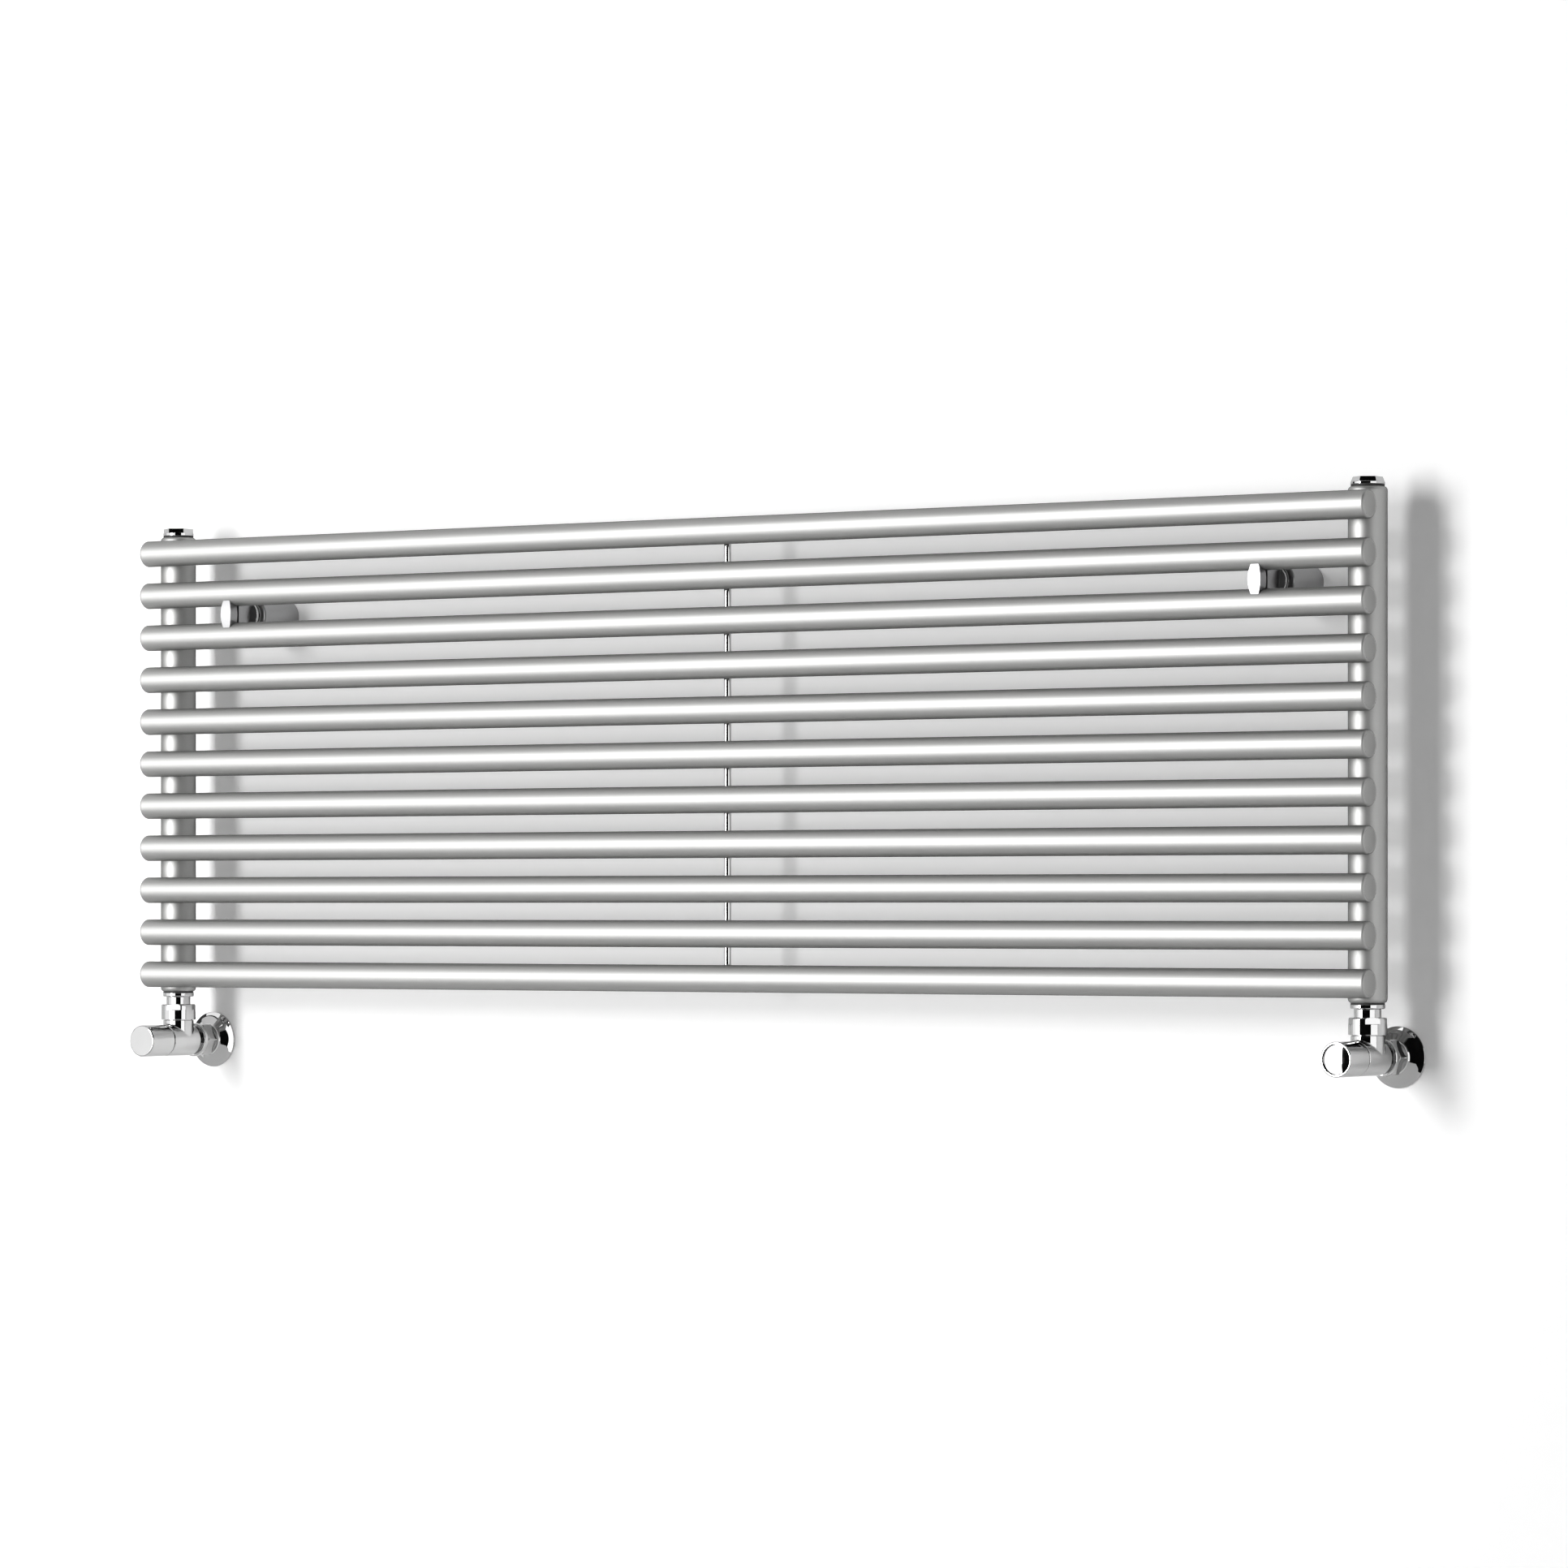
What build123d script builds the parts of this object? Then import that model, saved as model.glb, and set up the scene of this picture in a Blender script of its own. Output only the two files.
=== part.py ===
"""Tubular wall radiator with a hand valve, a lockshield valve and two clamp brackets.

Frame: millimetres, X along the tubes, Y into the wall, Z up. The origin lies on the wall,
midway between the two bracket screws.
"""

from build123d import *

import os

# Horizontal tubes
TUBE_COUNT = 11
TUBE_DIAMETER = 22.0
TUBE_WALL = 1.5
TUBE_LENGTH = 1200.0
TUBE_PITCH = 36.0
END_WALL = 2.5
END_CHAMFER = 1.4
WATER_SLOT_LENGTH = 7.0
WATER_SLOT_HEIGHT = 5.0

# Collectors and the bushes that close them
COLLECTOR_DIAMETER = 30.0
COLLECTOR_WALL = 2.0
COLLECTOR_INSET = 15.0
COLLECTOR_OVERHANG = 15.0
SADDLE_DEPTH = 3.0
BUSH_LIP = 4.0
BUSH_CHAMFER = 2.5
BUSH_SPIGOT = 5.0
BUSH_THREAD_DIAMETER = 20.9

# Stiffener rod behind the tubes
ROD_DIAMETER = 6.0
ROD_SEAT_DEPTH = 0.5
ROD_OVERHANG = 4.0

# Plugs on the collector tops
PLUG_GASKET = 1.4
PLUG_FLANGE_DIAMETER = 26.2
PLUG_FLANGE = 2.0
PLUG_HEX_CORNERS = 25.6
PLUG_HEX_HEIGHT = 3.8
PLUG_TOP_CORNERS = 22.8
PLUG_SHANK = 8.0
PLUG_TURN = 30.0
VENT_SCREW_DIAMETER = 5.0
VENT_KEY = 5.0
VENT_KEY_HEIGHT = 3.0
VENT_RECESS_DIAMETER = 9.0
VENT_RECESS_FLOOR = 1.6
VENT_OUTLET_DIAMETER = 1.6
VENT_PASSAGE_DIAMETER = 2.0
VENT_SCREW_LENGTH = 6.0

# Valve tail and union
VALVE_DROP = 41.7
WATERWAY_DIAMETER = 14.0
TAIL_SHANK = 8.0
TAIL_GASKET = 1.0
TAIL_FLANGE_DIAMETER = 26.5
TAIL_FLANGE = 3.3
TAIL_FLANGE_ROUNDING = 0.8
TAIL_NECK_DIAMETER = 20.6
TAIL_NECK = 6.4
TAIL_COLLAR = 2.0
UNION_SEAL = 1.0
UNION_NUT_DIAMETER = 29.5
UNION_NUT_HEIGHT = 13.4
UNION_NUT_LIP = 2.5
UNION_NUT_CHAMFER = 1.0
UNION_FLATS = 27.0
UNION_FLAT_HEIGHT = 5.2
UNION_FLAT_TURN = {"left": 25.0, "right": 45.0}
UNION_THREAD_DIAMETER = 24.0
UNION_GAP = 0.4

# Valve body, measured from the crossing of its two axes
BODY_DIAMETER = 26.8
BODY_NECK_DIAMETER = 26.0
BODY_FRONT = 19.5
BODY_BACK = 14.5
CHAMBER_DIAMETER = 19.0
SEAT_DEPTH = 5.0
INLET_DIAMETER = 12.0

# Pipe connection and rosette
PIPE_DIAMETER = 15.0
PIPE_SOCKET = 10.0
PIPE_SOCKET_WALL = 3.9
PIPE_SPIGOT = 13.0
COMPRESSION_GROOVE = 4.2
COMPRESSION_COLLAR_DIAMETER = 28.8
COMPRESSION_COLLAR = 4.8
COMPRESSION_NUT_LENGTH = 15.8
COMPRESSION_NUT_WALL = 1.6
COMPRESSION_LIP = 2.5
OLIVE_WALL = 2.1
OLIVE_CHAMFER = 1.0
ROSETTE_DIAMETER = 47.4
ROSETTE_SHEET = 1.2
ROSETTE_RIM = 1.2
ROSETTE_BAND = 4.3
ROSETTE_BAND_RISE = 1.6
ROSETTE_HUB = 5.0
ROSETTE_HOLE = 16.4
ROSETTE_CROWN = 27.0

# Headwork, drive stub and stem
HEADWORK_DEPTH = 13.5
HEADWORK_HEX_CORNERS = 22.0
HEADWORK_HEX = 5.0
HEADWORK_NOSE_DIAMETER = 14.0
HEADWORK_NOSE = 9.0
HEADWORK_SEAL = 1.8
HEADWORK_SEAL_DEPTH = 1.3
STEM_DIAMETER = 10.8
STEM_LENGTH = 14.5
STEM_SOCKET = 10.0
STEM_DISC_DIAMETER = 16.8
STEM_DISC = 3.5
STEM_WASHER_DIAMETER = 15.6
STEM_WASHER = 1.95
STEM_LIFT = 3.75
STUB_DIAMETER = 6.0
STUB_SQUARE = 4.2
STUB_COLLAR_DIAMETER = 10.2
STUB_COLLAR = 1.5
STUB_REACH = 7.5
STUB_SQUARE_STEP = 0.5

# Handwheel and cover cap
KNOB_LENGTH = 28.6
KNOB_GAP = 0.4
KNOB_WALL = 1.8
KNOB_ROUNDING = 1.0
KNOB_WEB = 10.0
FACE_RECESS = 3.0
FACE_DISC = 2.5
FACE_RIM = 1.6
HANDWHEEL_SCREW_DIAMETER = 3.0
HANDWHEEL_SCREW_HEAD_DIAMETER = 5.6
HANDWHEEL_SCREW_HEAD = 2.0
HANDWHEEL_SCREW_BITE = 4.0
COVER_CAP_FRONT = 3.0
COVER_CAP_GRIP = 0.2

# Wall brackets
WALL_TO_TUBE = 70.0
BRACKET_INSET = 80.0
TUBES_ABOVE_BRACKET = 2
CUP_DIAMETER = 30.0
CUP_LENGTH = 45.0
CUP_WALL = 3.45
CUP_BASE = 4.0
CUP_CHAMFER = 1.0
WALL_SCREW_HOLE = 5.5
COLLAR_INSERTION = 30.0
COLLAR_RING = 2.2
COLLAR_GROOVE_DEPTH = 1.2
CLAMP_WIDTH = 11.0
CLAMP_HEIGHT = 24.0
CLAMP_SEAT_BACK = 18.0
CLAMP_SEAT_FRONT = 1.0
CLAMP_CAP_BACK = -1.0
CLAMP_CAP_FRONT = -10.0
CLAMP_CAP_CROWN = 1.2
CLAMP_CAP_BARREL = 2.3
CLAMP_STUD_DIAMETER = 6.0
CLAMP_STUD_LENGTH = 42.0
CLAMP_STUD_BITE = 6.0
GRUB_SCREW_DIAMETER = 5.0
GRUB_SCREW_PLACE = 15.0

# Clearances on radius
RUNNING_CLEARANCE = 0.05
THREAD_CLEARANCE = 0.05
LOOSE_CLEARANCE = 0.1
SQUARE_CLEARANCE = 0.08
SEAT_CLEARANCE = 0.05
PIPE_CLEARANCE = 0.1
LIP_CLEARANCE = 0.25

# Places that follow from the sizes above
tube_radius = TUBE_DIAMETER / 2
collector_radius = COLLECTOR_DIAMETER / 2
collector_bore = collector_radius - COLLECTOR_WALL
tube_y = -WALL_TO_TUBE
collector_y = tube_y + tube_radius + collector_radius - SADDLE_DEPTH
top_tube_z = TUBE_PITCH * TUBES_ABOVE_BRACKET - TUBE_PITCH / 2
tube_heights = [top_tube_z - TUBE_PITCH * index for index in range(TUBE_COUNT)]
collector_top = tube_heights[0] + COLLECTOR_OVERHANG
collector_bottom = tube_heights[-1] - COLLECTOR_OVERHANG
valve_z = collector_bottom - VALVE_DROP
collector_x = TUBE_LENGTH / 2 - COLLECTOR_INSET
side_x = {"left": -collector_x, "right": collector_x}
clamp_x = collector_x - BRACKET_INSET
bracket_x = {"left": -clamp_x, "right": clamp_x}

bush_thread = BUSH_THREAD_DIAMETER / 2
shank_radius = bush_thread - THREAD_CLEARANCE
waterway = WATERWAY_DIAMETER / 2
body_radius = BODY_DIAMETER / 2
chamber = CHAMBER_DIAMETER / 2
union_thread = UNION_THREAD_DIAMETER / 2
stem_radius = STEM_DIAMETER / 2
stub_radius = STUB_DIAMETER / 2

# Heights down the union, from the collector's bottom
flange_low = collector_bottom - TAIL_GASKET - TAIL_FLANGE
nut_high = flange_low - TAIL_NECK
nut_low = nut_high - UNION_NUT_HEIGHT
collar_high = nut_high - UNION_NUT_LIP
collar_low = collar_high - TAIL_COLLAR
spigot_top = collar_low - UNION_SEAL
shoulder = nut_low - UNION_GAP

# Places along a valve's own axis, positive towards the room
wall_place = collector_y
pipe_bore = PIPE_DIAMETER / 2 + PIPE_CLEARANCE
pipe_spigot = PIPE_DIAMETER / 2 + PIPE_SOCKET_WALL
spigot_end = -BODY_BACK - PIPE_SPIGOT
pipe_stop = spigot_end + PIPE_SOCKET
nut_front = -BODY_BACK - COMPRESSION_GROOVE
nut_back = nut_front - COMPRESSION_NUT_LENGTH
headwork_end = BODY_FRONT - HEADWORK_DEPTH
nose_end = BODY_FRONT + HEADWORK_HEX + HEADWORK_NOSE
washer_back = -SEAT_DEPTH + SEAT_CLEARANCE
disc_back = washer_back + STEM_WASHER
stem_back = disc_back + STEM_DISC
stem_front = stem_back + STEM_LENGTH
socket_floor = stem_front - STEM_SOCKET
stub_tail = socket_floor + STEM_LIFT + LOOSE_CLEARANCE
stub_collar_back = stem_front + STEM_LIFT + LOOSE_CLEARANCE
stub_collar_front = stub_collar_back + STUB_COLLAR
stub_front = nose_end + STUB_REACH
knob_back = BODY_FRONT + KNOB_GAP
knob_front = knob_back + KNOB_LENGTH
face_seat = knob_front - FACE_RECESS
web_back = face_seat - KNOB_WEB
cap_seat = knob_front - COVER_CAP_FRONT

# Places along a bracket's axis, from the wall towards the room
clamp_seat_back = WALL_TO_TUBE - CLAMP_SEAT_BACK
clamp_seat_front = WALL_TO_TUBE - CLAMP_SEAT_FRONT
clamp_cap_back = WALL_TO_TUBE - CLAMP_CAP_BACK
clamp_cap_front = WALL_TO_TUBE - CLAMP_CAP_FRONT
cup_bore = CUP_DIAMETER / 2 - CUP_WALL
collar_radius = cup_bore - THREAD_CLEARANCE
collar_back = CUP_LENGTH - COLLAR_INSERTION
stud_front = clamp_cap_back + CLAMP_STUD_BITE
stud_radius = CLAMP_STUD_DIAMETER / 2


def upright_plane(x, height):
    """Plane on a collector's axis at a height: local x is a radius, local y runs up."""
    return Plane(origin=(x, collector_y, height), x_dir=(1, 0, 0), z_dir=(0, -1, 0))


def upright_axis(x):
    """Axis of a collector."""
    return Axis((x, collector_y, 0), (0, 0, 1))


def level_plane(x, height):
    """Level plane centred on a collector's axis."""
    return Plane(origin=(x, collector_y, height))


def outward_plane(x, y, z):
    """Plane through a horizontal axis: local x runs out of the wall, local y is a radius."""
    return Plane(origin=(x, y, z), x_dir=(0, -1, 0), z_dir=(-1, 0, 0))


def outward_axis(x, y, z):
    """Horizontal axis that runs out of the wall."""
    return Axis((x, y, z), (0, -1, 0))


def facing_plane(x, y, z):
    """Plane that faces the room: an extrusion from it runs out of the wall."""
    return Plane(origin=(x, y, z), x_dir=(1, 0, 0), z_dir=(0, -1, 0))


def turn(outline, plane, axis, mode=Mode.ADD):
    """Turns a closed outline about an axis, in the part that is being built."""
    with BuildSketch(plane) as section:
        with BuildLine():
            Polyline(*outline, close=True)
        make_face()
    revolve(section.sketch, axis=axis, mode=mode)


def keep(piece, node):
    """Labels a finished piece and writes it as a node."""
    piece.part.label = node
    export_step(piece.part, f"parts/{node}.step")


os.makedirs("parts", exist_ok=True)

# Horizontal tubes with welded-in ends, each with a water slot to both collectors
for number, height in enumerate(tube_heights, start=1):
    with BuildPart() as tube:
        with BuildSketch(Plane.YZ.offset(-TUBE_LENGTH / 2)):
            with Locations((tube_y, height)):
                Circle(tube_radius)
        extrude(amount=TUBE_LENGTH)
        end_faces = tube.faces().filter_by(Axis.X)
        chamfer(end_faces.edges(), END_CHAMFER)
        with BuildSketch(Plane.YZ.offset(END_WALL - TUBE_LENGTH / 2)):
            with Locations((tube_y, height)):
                Circle(tube_radius - TUBE_WALL)
        extrude(amount=TUBE_LENGTH - 2 * END_WALL, mode=Mode.SUBTRACT)
        with BuildSketch(Plane.XZ.offset(-tube_y)):
            with Locations(*[(x, height) for x in side_x.values()]):
                Rectangle(WATER_SLOT_LENGTH, WATER_SLOT_HEIGHT)
        extrude(amount=-tube_radius, mode=Mode.SUBTRACT)
    keep(tube, f"tube_{number:02d}")

# Collectors, cut open where each tube sits in its saddle
sleeve_low = collector_bottom + BUSH_LIP
sleeve_high = collector_top - BUSH_LIP
for side, x in side_x.items():
    with BuildPart() as collector:
        with BuildSketch(level_plane(x, sleeve_low)):
            Circle(collector_radius)
            Circle(collector_bore, mode=Mode.SUBTRACT)
        extrude(amount=sleeve_high - sleeve_low)
        with BuildSketch(Plane.YZ.offset(x)):
            with Locations(*[(tube_y, height) for height in tube_heights]):
                Circle(tube_radius)
        extrude(amount=collector_radius, both=True, mode=Mode.SUBTRACT)
    keep(collector, f"collector_{side}")

# Threaded end bushes with a rounded lip
with BuildPart() as bush:
    with BuildSketch():
        Circle(collector_radius)
    extrude(amount=BUSH_LIP)
    chamfer(bush.faces().sort_by(Axis.Z)[-1].edges(), BUSH_CHAMFER)
    with BuildSketch():
        Circle(collector_bore - THREAD_CLEARANCE)
    extrude(amount=-BUSH_SPIGOT)
    with BuildSketch(Plane.XY.offset(-BUSH_SPIGOT)):
        Circle(bush_thread)
    extrude(amount=BUSH_SPIGOT + BUSH_LIP, mode=Mode.SUBTRACT)
with BuildPart() as collector_bushes:
    for x in side_x.values():
        upper_end = Location((x, collector_y, sleeve_high))
        lower_end = Location((x, collector_y, sleeve_low), (180, 0, 0))
        with Locations(upper_end, lower_end):
            add(bush.part)
keep(collector_bushes, "collector_bushes")

# Stiffener rod, seated in every tube's back
rod_y = tube_y + tube_radius + ROD_DIAMETER / 2 - ROD_SEAT_DEPTH
with BuildPart() as stiffener_rod:
    with BuildSketch(Plane((0, rod_y, tube_heights[-1] - ROD_OVERHANG))):
        Circle(ROD_DIAMETER / 2)
    extrude(amount=tube_heights[0] - tube_heights[-1] + 2 * ROD_OVERHANG)
    with BuildSketch(Plane.YZ):
        with Locations(*[(tube_y, height) for height in tube_heights]):
            Circle(tube_radius)
    extrude(amount=ROD_DIAMETER, both=True, mode=Mode.SUBTRACT)
keep(stiffener_rod, "stiffener_rod")

# Plug gaskets on the collector tops
with BuildPart() as plug_gaskets:
    for x in side_x.values():
        with BuildSketch(level_plane(x, collector_top)):
            Circle(PLUG_FLANGE_DIAMETER / 2 - LIP_CLEARANCE)
            Circle(shank_radius + LOOSE_CLEARANCE, mode=Mode.SUBTRACT)
        extrude(amount=PLUG_GASKET)
keep(plug_gaskets, "plug_gaskets")

# Blanking plug: threaded shank, round flange and a tapered hexagon
flange_base = collector_top + PLUG_GASKET
hex_base = flange_base + PLUG_FLANGE
hex_top = hex_base + PLUG_HEX_HEIGHT
shank_base = flange_base - PLUG_SHANK
with BuildPart() as blanking_plug:
    with BuildSketch(level_plane(side_x["right"], shank_base)):
        Circle(shank_radius)
    extrude(amount=PLUG_SHANK)
    with BuildSketch(level_plane(side_x["right"], flange_base)):
        Circle(PLUG_FLANGE_DIAMETER / 2)
    extrude(amount=PLUG_FLANGE)
    with BuildSketch(level_plane(side_x["right"], hex_base)):
        RegularPolygon(PLUG_HEX_CORNERS / 2, 6, rotation=PLUG_TURN)
    with BuildSketch(level_plane(side_x["right"], hex_top)):
        RegularPolygon(PLUG_TOP_CORNERS / 2, 6, rotation=PLUG_TURN)
    loft()
keep(blanking_plug, "blanking_plug")

# Vent plug: a straight hexagon with a recess for the vent screw and an outlet under one flat
vent_floor = flange_base + VENT_RECESS_FLOOR
vent_tip = vent_floor - VENT_SCREW_LENGTH
with BuildPart() as vent_plug:
    with BuildSketch(level_plane(side_x["left"], shank_base)):
        Circle(shank_radius)
    extrude(amount=PLUG_SHANK)
    with BuildSketch(level_plane(side_x["left"], flange_base)):
        Circle(PLUG_FLANGE_DIAMETER / 2)
    extrude(amount=PLUG_FLANGE)
    with BuildSketch(level_plane(side_x["left"], hex_base)):
        RegularPolygon(PLUG_HEX_CORNERS / 2, 6, rotation=PLUG_TURN)
    extrude(amount=PLUG_HEX_HEIGHT)
    with BuildSketch(level_plane(side_x["left"], vent_floor)):
        Circle(VENT_RECESS_DIAMETER / 2)
    extrude(amount=hex_top - vent_floor, mode=Mode.SUBTRACT)
    with BuildSketch(level_plane(side_x["left"], vent_tip)):
        Circle(VENT_SCREW_DIAMETER / 2 + RUNNING_CLEARANCE)
    extrude(amount=VENT_SCREW_LENGTH, mode=Mode.SUBTRACT)
    with BuildSketch(level_plane(side_x["left"], shank_base)):
        Circle(VENT_PASSAGE_DIAMETER / 2)
    extrude(amount=vent_tip - shank_base, mode=Mode.SUBTRACT)
    outlet_plane = facing_plane(side_x["left"], collector_y, flange_base + PLUG_FLANGE / 2)
    with BuildSketch(outlet_plane.rotated((0, 0, PLUG_TURN))):
        Circle(VENT_OUTLET_DIAMETER / 2)
    extrude(amount=PLUG_FLANGE_DIAMETER, mode=Mode.SUBTRACT)
keep(vent_plug, "vent_plug")

# Vent screw with a square for the key
with BuildPart() as vent_screw:
    with BuildSketch(level_plane(side_x["left"], vent_tip + SEAT_CLEARANCE)):
        Circle(VENT_SCREW_DIAMETER / 2)
    extrude(amount=VENT_SCREW_LENGTH)
    with BuildSketch(level_plane(side_x["left"], vent_floor + SEAT_CLEARANCE)):
        Rectangle(VENT_KEY, VENT_KEY)
    extrude(amount=VENT_KEY_HEIGHT)
keep(vent_screw, "vent_screw")

# Tail gaskets under the collectors
with BuildPart() as tail_gaskets:
    for x in side_x.values():
        with BuildSketch(level_plane(x, collector_bottom)):
            Circle(TAIL_FLANGE_DIAMETER / 2 - LIP_CLEARANCE)
            Circle(shank_radius + LOOSE_CLEARANCE, mode=Mode.SUBTRACT)
        extrude(amount=-TAIL_GASKET)
keep(tail_gaskets, "tail_gaskets")

# Union seals between each tail and its valve body
with BuildPart() as union_seals:
    for x in side_x.values():
        with BuildSketch(level_plane(x, spigot_top)):
            Circle(union_thread - LIP_CLEARANCE)
            Circle(waterway, mode=Mode.SUBTRACT)
        extrude(amount=UNION_SEAL)
keep(union_seals, "union_seals")

# Headwork seals in the valve chambers
seal_front = BODY_FRONT - HEADWORK_SEAL
with BuildPart() as headwork_seals:
    for x in side_x.values():
        with BuildSketch(facing_plane(x, collector_y - seal_front + HEADWORK_SEAL, valve_z)):
            Circle(chamber)
            Circle(chamber - HEADWORK_SEAL_DEPTH, mode=Mode.SUBTRACT)
        extrude(amount=HEADWORK_SEAL)
keep(headwork_seals, "headwork_seals")

# Olives that grip the pipes
olive_radius = pipe_bore + OLIVE_WALL
olive_back = nut_back + COMPRESSION_LIP
with BuildPart() as olives:
    for x in side_x.values():
        turn(
            [
                (spigot_end, pipe_bore),
                (spigot_end, olive_radius - OLIVE_CHAMFER),
                (spigot_end - OLIVE_CHAMFER, olive_radius),
                (olive_back + OLIVE_CHAMFER, olive_radius),
                (olive_back, olive_radius - OLIVE_CHAMFER),
                (olive_back, pipe_bore),
            ],
            outward_plane(x, collector_y, valve_z),
            outward_axis(x, collector_y, valve_z),
        )
keep(olives, "olives")

# Both valves, from the collector to the wall
for side, x in side_x.items():
    valve_plane = outward_plane(x, collector_y, valve_z)
    valve_axis = outward_axis(x, collector_y, valve_z)

    # Tail: threaded shank, flange, neck and the collar that the union nut pulls on
    with BuildPart() as valve_tail:
        turn(
            [
                (waterway, collector_bottom + TAIL_SHANK),
                (shank_radius, collector_bottom + TAIL_SHANK),
                (shank_radius, collector_bottom - TAIL_GASKET),
                (TAIL_FLANGE_DIAMETER / 2, collector_bottom - TAIL_GASKET),
                (TAIL_FLANGE_DIAMETER / 2, flange_low + TAIL_FLANGE_ROUNDING),
                (TAIL_FLANGE_DIAMETER / 2 - TAIL_FLANGE_ROUNDING, flange_low),
                (TAIL_NECK_DIAMETER / 2, flange_low),
                (TAIL_NECK_DIAMETER / 2, collar_high),
                (union_thread - LIP_CLEARANCE, collar_high),
                (union_thread - LIP_CLEARANCE, collar_low),
                (waterway, collar_low),
            ],
            upright_plane(x, 0),
            upright_axis(x),
        )
    keep(valve_tail, f"valve_tail_{side}")

    # Union nut: turned round, with four flats cut in its upper part
    with BuildPart() as union_nut:
        with BuildSketch(level_plane(x, nut_low)):
            Circle(UNION_NUT_DIAMETER / 2)
        extrude(amount=UNION_NUT_HEIGHT)
        chamfer(union_nut.faces().sort_by(Axis.Z)[-1].edges(), UNION_NUT_CHAMFER)
        with BuildSketch(level_plane(x, nut_high - UNION_FLAT_HEIGHT)):
            Circle(UNION_NUT_DIAMETER)
            Rectangle(UNION_FLATS, UNION_FLATS, rotation=UNION_FLAT_TURN[side], mode=Mode.SUBTRACT)
        extrude(amount=UNION_FLAT_HEIGHT, mode=Mode.SUBTRACT)
        with BuildSketch(level_plane(x, nut_low)):
            Circle(union_thread + THREAD_CLEARANCE)
        extrude(amount=UNION_NUT_HEIGHT - UNION_NUT_LIP, mode=Mode.SUBTRACT)
        with BuildSketch(level_plane(x, nut_low)):
            Circle(TAIL_NECK_DIAMETER / 2 + LOOSE_CLEARANCE)
        extrude(amount=UNION_NUT_HEIGHT, mode=Mode.SUBTRACT)
    keep(union_nut, f"union_nut_{side}")

    # Angle body: a barrel along the pipe's axis, a neck up to the union, a spigot to the wall
    with BuildPart() as valve_body:
        turn(
            [
                (BODY_FRONT, 0),
                (BODY_FRONT, body_radius),
                (-BODY_BACK, body_radius),
                (-BODY_BACK, 0),
            ],
            valve_plane,
            valve_axis,
        )
        with BuildSketch(level_plane(x, valve_z)):
            Circle(BODY_NECK_DIAMETER / 2)
        extrude(amount=shoulder - valve_z)
        with BuildSketch(level_plane(x, shoulder)):
            Circle(union_thread)
        extrude(amount=spigot_top - shoulder)
        turn(
            [
                (-BODY_BACK, 0),
                (-BODY_BACK, pipe_spigot),
                (spigot_end, pipe_spigot),
                (spigot_end, 0),
            ],
            valve_plane,
            valve_axis,
        )
        turn(
            [
                (BODY_FRONT, 0),
                (BODY_FRONT, chamber),
                (-SEAT_DEPTH, chamber),
                (-SEAT_DEPTH, INLET_DIAMETER / 2),
                (pipe_stop, INLET_DIAMETER / 2),
                (pipe_stop, pipe_bore),
                (spigot_end, pipe_bore),
                (spigot_end, 0),
            ],
            valve_plane,
            valve_axis,
            mode=Mode.SUBTRACT,
        )
        with BuildSketch(level_plane(x, valve_z)):
            Circle(waterway)
        extrude(amount=spigot_top - valve_z, mode=Mode.SUBTRACT)
    keep(valve_body, f"valve_body_{side}")

    # Headwork: screwed into the body, threaded for the stem, bored for the drive stub
    with BuildPart() as headwork:
        turn(
            [
                (headwork_end, 0),
                (headwork_end, chamber - THREAD_CLEARANCE),
                (seal_front - HEADWORK_SEAL, chamber - THREAD_CLEARANCE),
                (seal_front - HEADWORK_SEAL, chamber - HEADWORK_SEAL_DEPTH),
                (seal_front, chamber - HEADWORK_SEAL_DEPTH),
                (seal_front, chamber - THREAD_CLEARANCE),
                (BODY_FRONT, chamber - THREAD_CLEARANCE),
                (BODY_FRONT, HEADWORK_NOSE_DIAMETER / 2),
                (nose_end, HEADWORK_NOSE_DIAMETER / 2),
                (nose_end, 0),
            ],
            valve_plane,
            valve_axis,
        )
        with BuildSketch(facing_plane(x, collector_y - BODY_FRONT, valve_z)):
            RegularPolygon(HEADWORK_HEX_CORNERS / 2, 6)
        extrude(amount=HEADWORK_HEX)
        turn(
            [
                (headwork_end, 0),
                (headwork_end, stem_radius + RUNNING_CLEARANCE),
                (stub_collar_front + SEAT_CLEARANCE, stem_radius + RUNNING_CLEARANCE),
                (stub_collar_front + SEAT_CLEARANCE, stub_radius + RUNNING_CLEARANCE),
                (nose_end, stub_radius + RUNNING_CLEARANCE),
                (nose_end, 0),
            ],
            valve_plane,
            valve_axis,
            mode=Mode.SUBTRACT,
        )
    keep(headwork, f"headwork_{side}")

    # Drive stub: a square tail in the stem, a collar, a round shaft and a square front end
    with BuildPart() as drive_stub:
        with BuildSketch(facing_plane(x, collector_y - stub_tail, valve_z)):
            Rectangle(STUB_SQUARE, STUB_SQUARE)
        extrude(amount=stub_collar_back - stub_tail)
        with BuildSketch(facing_plane(x, collector_y - stub_collar_back, valve_z)):
            Circle(STUB_COLLAR_DIAMETER / 2)
        extrude(amount=STUB_COLLAR)
        with BuildSketch(facing_plane(x, collector_y - stub_collar_front, valve_z)):
            Circle(stub_radius)
        extrude(amount=nose_end + STUB_SQUARE_STEP - stub_collar_front)
        with BuildSketch(facing_plane(x, collector_y - nose_end - STUB_SQUARE_STEP, valve_z)):
            Rectangle(STUB_SQUARE, STUB_SQUARE)
        extrude(amount=stub_front - nose_end - STUB_SQUARE_STEP)
        with BuildSketch(facing_plane(x, collector_y - stub_front, valve_z)):
            Circle(HANDWHEEL_SCREW_DIAMETER / 2 + THREAD_CLEARANCE)
        extrude(amount=-HANDWHEEL_SCREW_BITE, mode=Mode.SUBTRACT)
    keep(drive_stub, f"drive_stub_{side}")

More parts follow.
